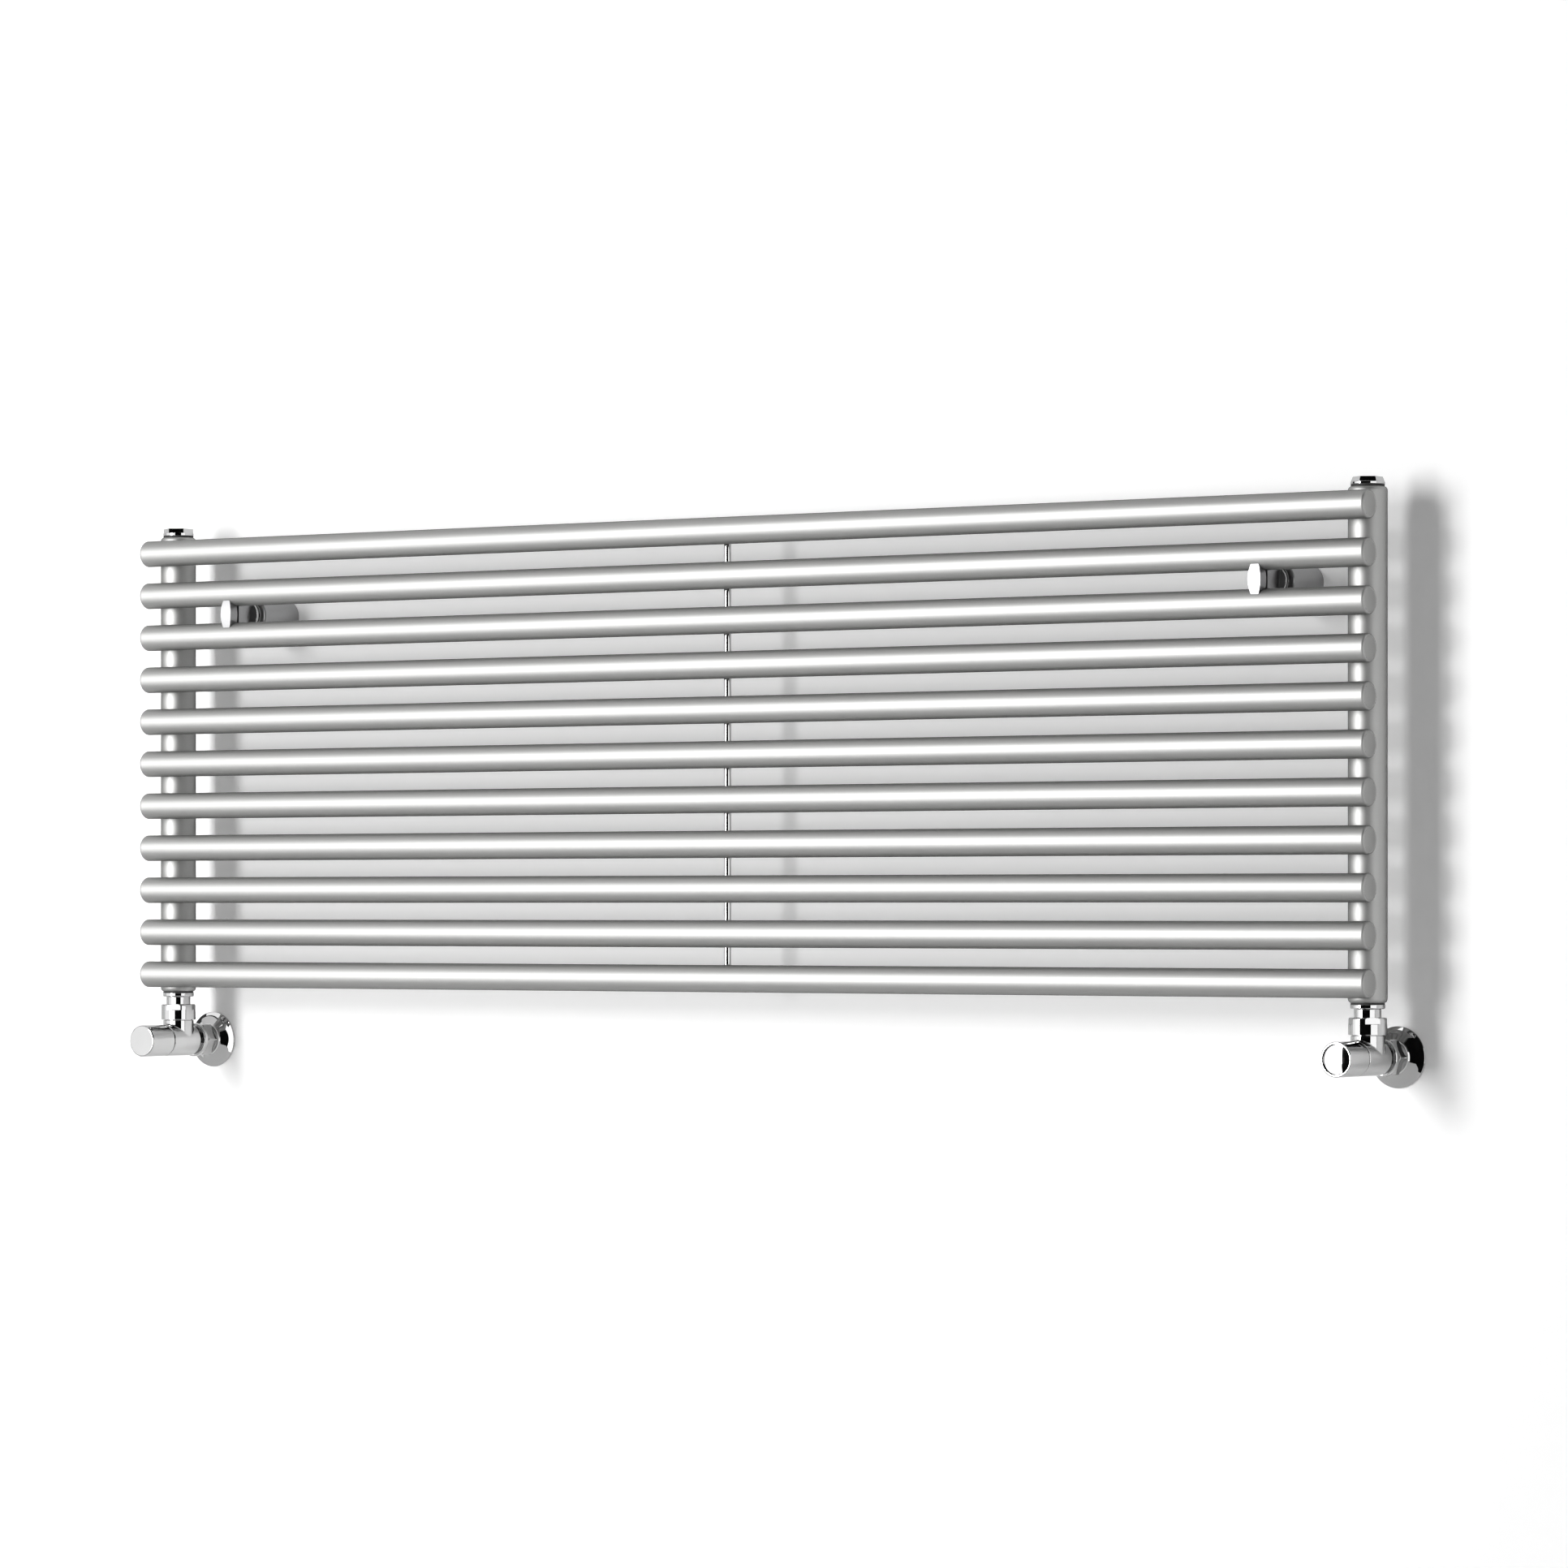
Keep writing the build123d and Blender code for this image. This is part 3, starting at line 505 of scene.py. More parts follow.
@dataclass
class CollectorPair:
    """The upright collectors, their end bushes, and the rod that stiffens the tubes."""

    x: float = 585.0
    y: float = -47.0
    diameter: float = 30.0
    bore: float = 26.0
    thread: float = 20.9
    low: float = -321.0
    high: float = 69.0
    lip: float = 4.0
    lip_rounding: float = 3.2
    thread_edge: float = 0.3
    spigot: float = 5.0
    spigot_clearance: float = 0.05
    rod_diameter: float = 6.0
    rod_rounding: float = 1.0
    rod_steps: int = 48
    rod_y: float = -56.5
    rod_low: float = -310.0
    rod_high: float = 58.0
    steps: int = 96

    def build(self, workshop: Workshop) -> None:
        """Makes the collectors, the bushes and the rod.

        Args:
            workshop: Workshop that takes the pieces.
        """
        for side in Side:
            sleeve = turned(
                self.steps,
                Corner(self.low + self.lip, self.bore / 2),
                Corner(self.low + self.lip, self.diameter / 2),
                Corner(self.high - self.lip, self.diameter / 2),
                Corner(self.high - self.lip, self.bore / 2),
            )
            placement = upright(side.sign * self.x, self.y)
            workshop.hand_over([(sleeve, placement)], Slot.SILVER_PAINT, [side.node("collector")])
        bushes = []
        for side in Side:
            x = side.sign * self.x
            bushes.append((self.bush(), upright(x, self.y, self.high - self.lip)))
            turned_over = upright(x, self.y, self.low + self.lip) @ Matrix.Rotation(math.pi, 4, "X")
            bushes.append((self.bush(), turned_over))
        workshop.hand_over(bushes, Slot.SILVER_PAINT, ["collector_bushes"])
        rod = turned(
            self.rod_steps,
            Corner(self.rod_low, 0.0),
            Corner(self.rod_low, self.rod_diameter / 2, self.rod_rounding),
            Corner(self.rod_high, self.rod_diameter / 2, self.rod_rounding),
            Corner(self.rod_high, 0.0),
        )
        workshop.hand_over([(rod, upright(0.0, self.rod_y))], Slot.CHROME, ["stiffener_rod"])

    def bush(self) -> Shape:
        """Makes one end bush that stands on the end of its collector.

        Returns:
            The closed shape.
        """
        sleeve = self.bore / 2 - self.spigot_clearance
        return turned(
            self.steps,
            Corner(-self.spigot, self.thread / 2),
            Corner(-self.spigot, sleeve),
            Corner(0.0, sleeve),
            Corner(0.0, self.diameter / 2),
            Corner(self.lip, self.diameter / 2, self.lip_rounding),
            Corner(self.lip, self.thread / 2, self.thread_edge),
        )


@dataclass
class CollectorPlugs:
    """The blanking plug, the vent plug and their gaskets on top of the collectors."""

    x: float = 585.0
    y: float = -47.0
    seat: float = 69.0
    gasket: float = 1.4
    gasket_diameter: float = 25.7
    gasket_rounding: float = 0.4
    gasket_clearance: float = 0.1
    shank_diameter: float = 20.8
    shank: float = 8.0
    shank_edge: float = 0.5
    flange_diameter: float = 26.2
    flange: float = 2.0
    flange_low_edge: float = 0.3
    flange_high_edge: float = 0.5
    hex_corners: float = 25.6
    hex_top: float = 22.8
    hex_height: float = 3.8
    turn: float = 30.0
    edge: float = 0.35
    steps: int = 72

    def build(self, workshop: Workshop) -> None:
        """Makes the gaskets and the blanking plug, and dresses the vent.

        Args:
            workshop: Workshop that takes the pieces.
        """
        gaskets = []
        hole = self.shank_diameter / 2 + self.gasket_clearance
        for side in Side:
            ring = turned(
                self.steps,
                Corner(0.0, hole),
                Corner(0.0, self.gasket_diameter / 2, self.gasket_rounding),
                Corner(self.gasket, self.gasket_diameter / 2, self.gasket_rounding),
                Corner(self.gasket, hole),
            )
            gaskets.append((ring, upright(side.sign * self.x, self.y, self.seat)))
        workshop.hand_over(gaskets, Slot.BLACK_RUBBER, ["plug_gaskets"])
        base = upright(self.x, self.y, self.seat + self.gasket)
        body = turned(
            self.steps,
            Corner(-self.shank, 0.0),
            Corner(-self.shank, self.shank_diameter / 2, self.shank_edge),
            Corner(0.0, self.shank_diameter / 2),
            Corner(0.0, self.flange_diameter / 2, self.flange_low_edge),
            Corner(self.flange, self.flange_diameter / 2, self.flange_high_edge),
            Corner(self.flange, 0.0),
        )
        head = hexagon(self.hex_corners, self.hex_top, self.hex_height, self.edge)
        turn = Matrix.Rotation(math.radians(self.turn), 4, "Z")
        top = base @ (Matrix.Translation((0.0, 0.0, self.flange)) @ turn)
        workshop.hand_over([(body, base), (head, top)], Slot.CHROME, ["blanking_plug"])
        workshop.dress("vent_plug", Slot.CHROME)
        workshop.dress("vent_screw", Slot.SATIN_STEEL)


@dataclass
class AngleValve:
    """What both valves share: tail, union, body, compression nut and rosette."""

    side: Side
    flat_turn: float
    x: float = 585.0
    y: float = -47.0
    z: float = -362.7
    collector_low: float = -321.0
    waterway: float = 14.0
    shank: float = 8.0
    shank_diameter: float = 20.8
    gasket: float = 1.0
    flange_diameter: float = 26.5
    flange_low: float = -325.3
    flange_high_edge: float = 0.4
    flange_low_edge: float = 0.9
    flange_root: float = 0.5
    neck_diameter: float = 20.6
    nut_high: float = -331.7
    nut_low: float = -345.1
    nut_diameter: float = 29.5
    nut_flats: float = 27.0
    nut_flat_height: float = 5.2
    nut_lip: float = 2.5
    nut_bore: float = 24.1
    nut_clearance: float = 0.1
    nut_foot_edge: float = 0.5
    nut_top_edge: float = 1.5
    nut_mouth_edge: float = 0.3
    nut_step: float = 0.25
    nut_step_mark: float = 0.1
    collar_low: float = -336.2
    collar_clearance: float = 0.25
    shoulder: float = -345.5
    spigot_top: float = -337.2
    spigot_diameter: float = 24.0
    spigot_edge: float = 0.3
    body_diameter: float = 26.8
    body_neck: float = 26.0
    body_front: float = 19.5
    body_back: float = -14.5
    body_front_edge: float = 1.0
    body_back_edge: float = 1.3
    shoulder_edge: float = 0.4
    blend: float = 1.4
    chamber: float = 19.0
    seat: float = -5.0
    inlet: float = 12.0
    neck_foot: float = 10.4
    neck_sink: float = 0.01
    socket_diameter: float = 22.8
    socket_end: float = -27.5
    socket_root: float = 0.4
    socket_clearance: float = 0.05
    pipe_bore: float = 15.2
    pipe_stop: float = -17.5
    grip_front: float = -18.7
    grip_back: float = -34.5
    grip_collar: float = 4.8
    grip_collar_diameter: float = 28.8
    grip_flats: float = 26.0
    grip_edge: float = 0.7
    grip_bore_edge: float = 0.2
    grip_front_edge: float = 1.3
    grip_root: float = 1.0
    head_back: float = 19.9
    head_seat: float = 45.5
    head_front: float = 48.5
    wall: float = -47.0
    rosette_diameter: float = 47.4
    rosette_rim: float = 1.2
    rosette_band: float = 4.3
    rosette_band_rise: float = 1.6
    rosette_hub: float = 5.0
    rosette_crown: float = 24.8
    rosette_hole: float = 16.4
    rosette_sheet: float = 1.2
    rosette_hole_edge: float = 0.2
    rosette_crown_edge: float = 0.8
    rosette_hub_root: float = 1.6
    rosette_flare_edge: float = 1.8
    rosette_band_edge: float = 0.5
    rosette_rim_edge: float = 0.3
    steps: int = 160
    blend_rows: int = 8
    row_limit: float = 0.5
    INNER: ClassVar[dict[str, Slot]] = {
        "headwork": Slot.BRASS,
        "drive_stub": Slot.BRASS,
        "valve_stem": Slot.BRASS,
        "stem_washer": Slot.BLACK_RUBBER,
    }

    @property
    def place(self) -> float:
        """Place of the valve along X."""
        return self.side.sign * self.x

    @property
    def axis(self) -> Matrix:
        """Placement on the valve's own axis, out of the wall."""
        return outward(self.place, self.y, self.z)

    def build(self, workshop: Workshop) -> None:
        """Makes the pieces of this valve.

        Args:
            workshop: Workshop that takes the pieces.
        """
        stand = upright(self.place, self.y)
        crossing = upright(self.place, self.y, self.z)
        pieces = {
            "valve_tail": [(self.tail(), stand)],
            "union_nut": [(self.union_nut(), stand)],
            "valve_body": [(self.barrel(), self.axis), (self.neck(), crossing)],
            "compression_nut": self.compression_nut(),
            "rosette": [(self.rosette(), self.axis)],
        }
        for name, shapes in pieces.items():
            workshop.hand_over(shapes, Slot.CHROME, [self.side.node(name)])
        for name, slot in self.INNER.items():
            workshop.dress(self.side.node(name), slot)

    def tail(self) -> Shape:
        """Makes the tail that screws into the collector.

        Returns:
            The closed shape.
        """
        neck = self.neck_diameter / 2
        flange = self.flange_diameter / 2
        collar = self.spigot_diameter / 2 - self.collar_clearance
        return turned(
            self.steps,
            Corner(self.collector_low + self.shank, self.waterway / 2),
            Corner(self.collector_low + self.shank, self.shank_diameter / 2),
            Corner(self.collector_low - self.gasket, self.shank_diameter / 2),
            Corner(self.collector_low - self.gasket, flange, self.flange_high_edge),
            Corner(self.flange_low, flange, self.flange_low_edge),
            Corner(self.flange_low, neck, self.flange_root),
            Corner(self.nut_high - self.nut_lip, neck),
            Corner(self.nut_high - self.nut_lip, collar),
            Corner(self.collar_low, collar),
            Corner(self.collar_low, self.waterway / 2),
        )

    def union_nut(self) -> Shape:
        """Makes the round union nut with four flats in its upper part.

        Returns:
            The closed shape.
        """
        step = self.nut_high - self.nut_flat_height
        radius = self.nut_diameter / 2
        throat = self.neck_diameter / 2 + self.nut_clearance
        nut = turned(
            self.steps,
            Corner(self.nut_low, self.nut_bore / 2),
            Corner(self.nut_low, radius, self.nut_foot_edge),
            Corner(step, radius),
            Corner(step + self.nut_step, radius),
            Corner(self.nut_high, radius, self.nut_top_edge),
            Corner(self.nut_high, throat, self.nut_mouth_edge),
            Corner(self.nut_high - self.nut_lip, throat),
            Corner(self.nut_high - self.nut_lip, self.nut_bore / 2),
        )
        for quarter in range(4):
            angle = math.radians(self.flat_turn + 90.0 * quarter)
            normal = Vector((math.cos(angle), math.sin(angle), 0.0))
            for point in nut.verts:
                beyond = point.co.dot(normal) - self.nut_flats / 2
                if point.co.z > step + self.nut_step_mark and beyond > 0.0:
                    point.co -= normal * beyond
        bmesh.ops.recalc_face_normals(nut, faces=nut.faces[:])
        return nut

    def barrel(self) -> Shape:
        """Makes the body's barrel with the chamber, the seat and the socket for the pipe.

        Returns:
            The closed shape.
        """
        radius = self.body_diameter / 2
        return turned(
            self.steps,
            Corner(self.body_front, self.chamber / 2),
            Corner(self.body_front, radius, self.body_front_edge),
            Corner(self.body_back, radius, self.body_back_edge),
            Corner(self.body_back, self.socket_diameter / 2, self.socket_root),
            Corner(self.socket_end, self.socket_diameter / 2),
            Corner(self.socket_end, self.pipe_bore / 2),
            Corner(self.pipe_stop, self.pipe_bore / 2),
            Corner(self.pipe_stop, self.inlet / 2),
            Corner(self.seat, self.inlet / 2),
            Corner(self.seat, self.chamber / 2),
        )

    def neck(self) -> Shape:
        """Makes the neck that flows from the union into the barrel.

        The rows of a turned skirt are laid along the arcs of a ball that rolls in the corner
        between the neck and the barrel. Until then each row lies at its number below zero.

        Returns:
            The closed shape, with the crossing of the two axes as its origin.
        """
        outer = self.body_neck / 2
        spigot = self.spigot_diameter / 2
        shoulder = self.shoulder - self.z
        rows = [Corner(float(-row), outer) for row in range(self.blend_rows + 1)]
        skirt = turned(
            self.steps,
            Corner(self.spigot_top - self.z, self.waterway / 2),
            Corner(self.spigot_top - self.z, spigot, self.spigot_edge),
            Corner(shoulder, spigot),
            Corner(shoulder, outer, self.shoulder_edge),
            *rows,
            Corner(self.neck_foot, self.waterway / 2),
        )
        barrel = self.body_diameter / 2 - self.neck_sink
        for point in skirt.verts:
            if point.co.z > self.row_limit:
                continue
            share = -point.co.z / self.blend_rows
            turn = math.atan2(point.co.y, point.co.x)
            way = Vector((math.cos(turn), math.sin(turn), 0.0))
            ball = way * (outer + self.blend)
            ball.z = math.sqrt((barrel + self.blend) ** 2 - ball.x**2)
            from_neck = way * -1.0
            from_barrel = Vector((ball.x, 0.0, ball.z)).normalized() * -1.0
            point.co = ball + from_neck.slerp(from_barrel, share) * self.blend
        bmesh.ops.recalc_face_normals(skirt, faces=skirt.faces[:])
        return skirt

    def compression_nut(self) -> list[Placed]:
        """Makes the compression nut: a round collar and a hexagon.

        Returns:
            Both shapes with their placements.
        """
        bore = self.socket_diameter / 2 + self.socket_clearance
        rim = self.grip_collar_diameter / 2
        hex_front = self.grip_front - self.grip_collar
        collar = turned(
            self.steps,
            Corner(self.grip_front, bore, self.grip_bore_edge),
            Corner(self.grip_front, rim, self.grip_front_edge),
            Corner(hex_front, rim, self.grip_root),
            Corner(hex_front, bore),
        )
        across = self.grip_flats / math.cos(math.pi / 6)
        grip = hexagon(across, across, hex_front - self.grip_back, self.grip_edge)
        grip_place = self.axis @ Matrix.Translation((0.0, 0.0, self.grip_back))
        return [(collar, self.axis), (grip, grip_place)]

    def rosette(self) -> Shape:
        """Makes the wall rosette: a straight hub, a flare and a sloping band.

        Returns:
            The closed shape.
        """
        rim = self.rosette_diameter / 2
        crown = self.rosette_crown / 2
        hole = self.rosette_hole / 2
        sheet = self.rosette_sheet
        flare = rim - self.rosette_band
        hub_foot = self.grip_back - self.rosette_hub
        flare_foot = self.wall + self.rosette_rim + self.rosette_band_rise
        return turned(
            self.steps,
            Corner(self.grip_back, hole, self.rosette_hole_edge),
            Corner(self.grip_back, crown, self.rosette_crown_edge),
            Corner(hub_foot, crown, self.rosette_hub_root),
            Corner(flare_foot, flare, self.rosette_flare_edge),
            Corner(self.wall + self.rosette_rim, rim, self.rosette_band_edge),
            Corner(self.wall, rim, self.rosette_rim_edge),
            Corner(self.wall, rim - sheet),
            Corner(flare_foot - sheet, flare),
            Corner(hub_foot - sheet, crown - sheet),
            Corner(self.grip_back - sheet, crown - sheet),
            Corner(self.grip_back - sheet, hole),
        )


@dataclass
class HandValve(AngleValve):
    """The hand valve: its wheel has a bright face disc in a recess."""

    wheel_wall: float = 1.8
    web_back: float = 35.5
    face_rim: float = 1.6
    face_edge: float = 47.0
    face_middle: float = 48.0
    face_clearance: float = 0.1
    face_rounding: float = 0.2
    web_rounding: float = 0.8
    wheel_back_edge: float = 1.0
    wheel_front_edge: float = 0.9
    recess_edge: float = 0.25
    dome_rows: int = 12

    def build(self, workshop: Workshop) -> None:
        """Makes the shared pieces, the handwheel and its face disc.

        Args:
            workshop: Workshop that takes the pieces.
        """
        super().build(workshop)
        radius = self.body_diameter / 2
        recess = radius - self.face_rim
        shell = turned(
            self.steps,
            Corner(self.web_back, 0.0),
            Corner(self.web_back, radius - self.wheel_wall, self.web_rounding),
            Corner(self.head_back, radius - self.wheel_wall),
            Corner(self.head_back, radius, self.wheel_back_edge),
            Corner(self.head_front, radius, self.wheel_front_edge),
            Corner(self.head_front, recess, self.recess_edge),
            Corner(self.head_seat, recess),
            Corner(self.head_seat, 0.0),
        )
        workshop.hand_over([(shell, self.axis)], Slot.CHROME, ["handwheel"], "handwheel")
        disc = recess - self.face_clearance
        face = turned(
            self.steps,
            Corner(self.head_seat, 0.0),
            Corner(self.head_seat, disc),
            Corner(self.face_edge, disc, self.face_rounding),
            *self.dome(disc),
        )
        workshop.hand_over([(face, self.axis)], Slot.CHROME, ["handwheel_face"], "handwheel")
        workshop.dress("handwheel_screw", Slot.SATIN_STEEL)

    def dome(self, edge: float) -> list[Corner]:
        """Lists the outline of the face's shallow dome, from its edge to its middle.

        Args:
            edge: Radius of the face.

        Returns:
            Corners on a circular arc.
        """
        rise = self.face_middle - self.face_edge
        bow = (edge**2 + rise**2) / (2 * rise)
        corners = []
        for step in range(1, self.dome_rows + 1):
            radius = edge * (1 - step / self.dome_rows)
            height = math.sqrt(bow**2 - radius**2) - (bow - rise)
            corners.append(Corner(self.face_edge + height, radius))
        return corners


@dataclass
class LockshieldValve(AngleValve):
    """The lockshield valve: a plain cap covers its square."""

    cap_bore: float = 22.4
    cap_floor_rounding: float = 1.0
    cap_mouth_edge: float = 0.3
    cap_back_edge: float = 1.0
    cap_front_edge: float = 1.4

    def build(self, workshop: Workshop) -> None:
        """Makes the shared pieces and the cover cap.

        Args:
            workshop: Workshop that takes the pieces.
        """
        super().build(workshop)
        radius = self.body_diameter / 2
        cap = turned(
            self.steps,
            Corner(self.head_seat, 0.0),
            Corner(self.head_seat, self.cap_bore / 2, self.cap_floor_rounding),
            Corner(self.head_back, self.cap_bore / 2, self.cap_mouth_edge),
            Corner(self.head_back, radius, self.cap_back_edge),
            Corner(self.head_front, radius, self.cap_front_edge),
            Corner(self.head_front, 0.0),
        )
        workshop.hand_over([(cap, self.axis)], Slot.CHROME, ["cover_cap"], "cover_cap")


@dataclass
class WallBracket:
    """A wall cup, a threaded collar, and the clamp that holds two tubes."""

    side: Side
    x: float = 505.0
    cup_diameter: float = 30.0
    cup_length: float = 45.0
    cup_bore: float = 23.1
    cup_base: float = 4.0
    screw_hole: float = 5.5
    cup_edge: float = 0.3
    cup_mouth_edge: float = 0.2
    cup_chamfer: float = 1.0
    collar_diameter: float = 23.0
    collar_back: float = 15.0
    collar_ring: float = 2.2
    groove: float = 1.2
    groove_edge: float = 0.3
    ring_edge: float = 0.4
    stud_bore: float = 6.1
    clamp_width: float = 11.0
    clamp_height: float = 24.0
    clamp_seat_edge: float = 0.4
    clamp_cap_edge: float = 0.6
    seat_back: float = 52.0
    seat_front: float = 69.0
    cap_back: float = 71.0
    cap_front: float = 80.0
    cap_crown: float = 1.2
    cap_barrel: float = 2.3
    tube_y: float = 70.0
    tube_half_pitch: float = 18.0
    saddle: float = 11.1
    steps: int = 128
    arc_steps: int = 14
    slices: int = 20

    @property
    def axis(self) -> Matrix:
        """Placement on the bracket's axis, out of the wall."""
        return outward(self.side.sign * self.x, 0.0, 0.0)

    def build(self, workshop: Workshop) -> None:
        """Makes the pieces of this bracket.

        Args:
            workshop: Workshop that takes the pieces.
        """
        steel = Slot.SATIN_STEEL
        pieces = {
            "wall_cup": (self.cup(), steel),
            "bracket_collar": (self.collar(), Slot.CHROME),
            "clamp_seat": (self.clamp_seat(), steel),
            "clamp_cap": (self.clamp_cap(), steel),
        }
        for name, (shape, slot) in pieces.items():
            workshop.hand_over([(shape, self.axis)], slot, [self.side.node(name)])
        workshop.dress(self.side.node("clamp_stud"), steel)

    def cup(self) -> Shape:
        """Makes the wall cup.

        Returns:
            The closed shape.
        """
        radius = self.cup_diameter / 2
        return turned(
            self.steps,
            Corner(0.0, self.screw_hole / 2),
            Corner(0.0, radius, self.cup_edge),
            Corner(self.cup_length - self.cup_chamfer, radius, self.cup_edge),
            Corner(self.cup_length, radius - self.cup_chamfer, self.cup_edge),
            Corner(self.cup_length, self.cup_bore / 2, self.cup_mouth_edge),
            Corner(self.cup_base, self.cup_bore / 2),
            Corner(self.cup_base, self.screw_hole / 2),
        )

    def collar(self) -> Shape:
        """Makes the collar, with a groove where it shows.

        Returns:
            The closed shape.
        """
        radius = self.collar_diameter / 2
        ring_back = self.seat_back - self.collar_ring
        groove_back = ring_back - self.collar_ring
        return turned(
            self.steps,
            Corner(self.collar_back, self.stud_bore / 2),
            Corner(self.collar_back, radius),
            Corner(groove_back, radius, self.groove_edge),
            Corner(groove_back, radius - self.groove),
            Corner(ring_back, radius - self.groove),
            Corner(ring_back, radius, self.ring_edge),
            Corner(self.seat_back, radius, self.ring_edge),
            Corner(self.seat_back, self.stud_bore / 2),
        )

    def arc(self, upper: bool, start: float, end: float) -> list[tuple[float, float]]:
        """Lists points on a saddle, from one place out of the wall to another.

        Args:
            upper: True for the saddle of the tube above.
            start: Place of the first point.
            end: Place of the last point.

        Returns:
            Places out of the wall with their heights.
        """
        sign = 1.0 if upper else -1.0
        points = []
        for step in range(self.arc_steps + 1):
            out = start + (end - start) * step / self.arc_steps
            depth = math.sqrt(max(self.saddle**2 - (out - self.tube_y) ** 2, 0.0))
            points.append((out, sign * (self.tube_half_pitch - depth)))
        return points

    def reach(self, height: float) -> float:
        """Distance of a saddle from the tube's axis, along the bracket, at a height."""
        return math.sqrt(self.saddle**2 - (self.tube_half_pitch - height) ** 2)

    def block(self, outline: Sequence[tuple[float, float]]) -> Shape:
        """Makes a block of the clamp's width from its side outline.

        Args:
            outline: Places out of the wall with their heights, in order.

        Returns:
            The closed shape, cut into level slices.
        """
        shape = bmesh.new()
        points = [shape.verts.new((-self.clamp_width / 2, height, out)) for out, height in outline]
        face = shape.faces.new(points)
        grown = bmesh.ops.extrude_face_region(shape, geom=[face])["geom"]
        moved = [item for item in grown if isinstance(item, bmesh.types.BMVert)]
        bmesh.ops.translate(shape, verts=moved, vec=(self.clamp_width, 0.0, 0.0))
        for cut in range(1, self.slices):
            height = self.clamp_height * (cut / self.slices - 0.5)
            bmesh.ops.bisect_plane(
                shape,
                geom=shape.verts[:] + shape.edges[:] + shape.faces[:],
                dist=MERGE_DISTANCE,
                plane_co=(0.0, height, 0.0),
                plane_no=(0.0, 1.0, 0.0),
            )
        bmesh.ops.remove_doubles(shape, verts=shape.verts[:], dist=WELD_DISTANCE)
        bmesh.ops.recalc_face_normals(shape, faces=shape.faces[:])
        return shape

    def ease_edges(self, shape: Shape, width: float) -> Shape:
        """Rounds the sharp edges of a shape.

        Args:
            shape: Shape to work on.
            width: Width of the rounding.

        Returns:
            The same shape.
        """
        sharp = [edge for edge in shape.edges if edge.calc_face_angle(0.0) > EASED_ANGLE]
        round_edges(shape, sharp, width, clamp=True)
        return shape

    def clamp_seat(self) -> Shape:
        """Makes the rear half of the clamp.

        Returns:
            The closed shape.
        """
        half = self.clamp_height / 2
        meet = self.tube_y - self.reach(half)
        outline = [
            (self.seat_back, -half),
            *self.arc(False, meet, self.seat_front),
            *reversed(self.arc(True, meet, self.seat_front)),
            (self.seat_back, half),
        ]
        return self.ease_edges(self.block(outline), self.clamp_seat_edge)

    def clamp_cap(self) -> Shape:
        """Makes the front half of the clamp, with a crowned face and barrel sides.

        Returns:
            The closed shape.
        """
        half = self.clamp_height / 2
        meet = self.tube_y + self.reach(half)
        shares = [1 - 2 * step / self.arc_steps for step in range(self.arc_steps + 1)]
        crown = [(self.cap_front - self.cap_crown * share**2, half * share) for share in shares]
        outline = [
            *self.arc(False, meet, self.cap_back),
            *reversed(self.arc(True, meet, self.cap_back)),
            *crown,
        ]
        shape = self.block(outline)
        for point in shape.verts:
            drawn_in = self.cap_barrel * (point.co.y / half) ** 2
            point.co.x -= math.copysign(drawn_in, point.co.x)
        return self.ease_edges(shape, self.clamp_cap_edge)


@dataclass
class InnerPieces:
    """Seals, olives and screws that keep the shape of their solids."""

    PIECES: ClassVar[dict[str, Slot]] = {
        "union_seals": Slot.BLACK_RUBBER,
        "headwork_seals": Slot.BLACK_RUBBER,
        "tail_gaskets": Slot.BLACK_RUBBER,
        "olives": Slot.BRASS,
        "grub_screws": Slot.SATIN_STEEL,
    }

    def build(self, workshop: Workshop) -> None:
        """Dresses the pieces.

        Args:
            workshop: Workshop with the materials.
        """
        for node, slot in self.PIECES.items():
            workshop.dress(node, slot)


@dataclass(frozen=True)
class Panel:
    """A soft light panel.

    Attributes:
        name: Name of the panel.
        place: Centre of the panel in metres.
        aim: Point that the panel faces, in metres.
        width: Width in metres.
        height: Height in metres.
        glow: Radiance of the panel, where 1 is white.
        mirrored_only: True for a card that shows in bright metal and lights nothing else.
    """

    name: str
    place: Triple
    aim: Triple
    width: float
    height: float
    glow: float
    mirrored_only: bool = False

    def build(self) -> None:
        """Makes the panel as an area light."""
        light = bpy.data.lights.new(self.name, "AREA")
        light.shape = "RECTANGLE"
        light.size = self.width
        light.size_y = self.height
        light.energy = self.glow * math.pi * self.width * self.height
        panel = bpy.data.objects.new(self.name, light)
        panel.location = self.place
        direction = Vector(self.aim) - Vector(self.place)
        panel.rotation_euler = direction.to_track_quat("-Z", "Y").to_euler()
        panel.visible_camera = False
        panel.visible_diffuse = not self.mirrored_only
        bpy.context.scene.collection.objects.link(panel)


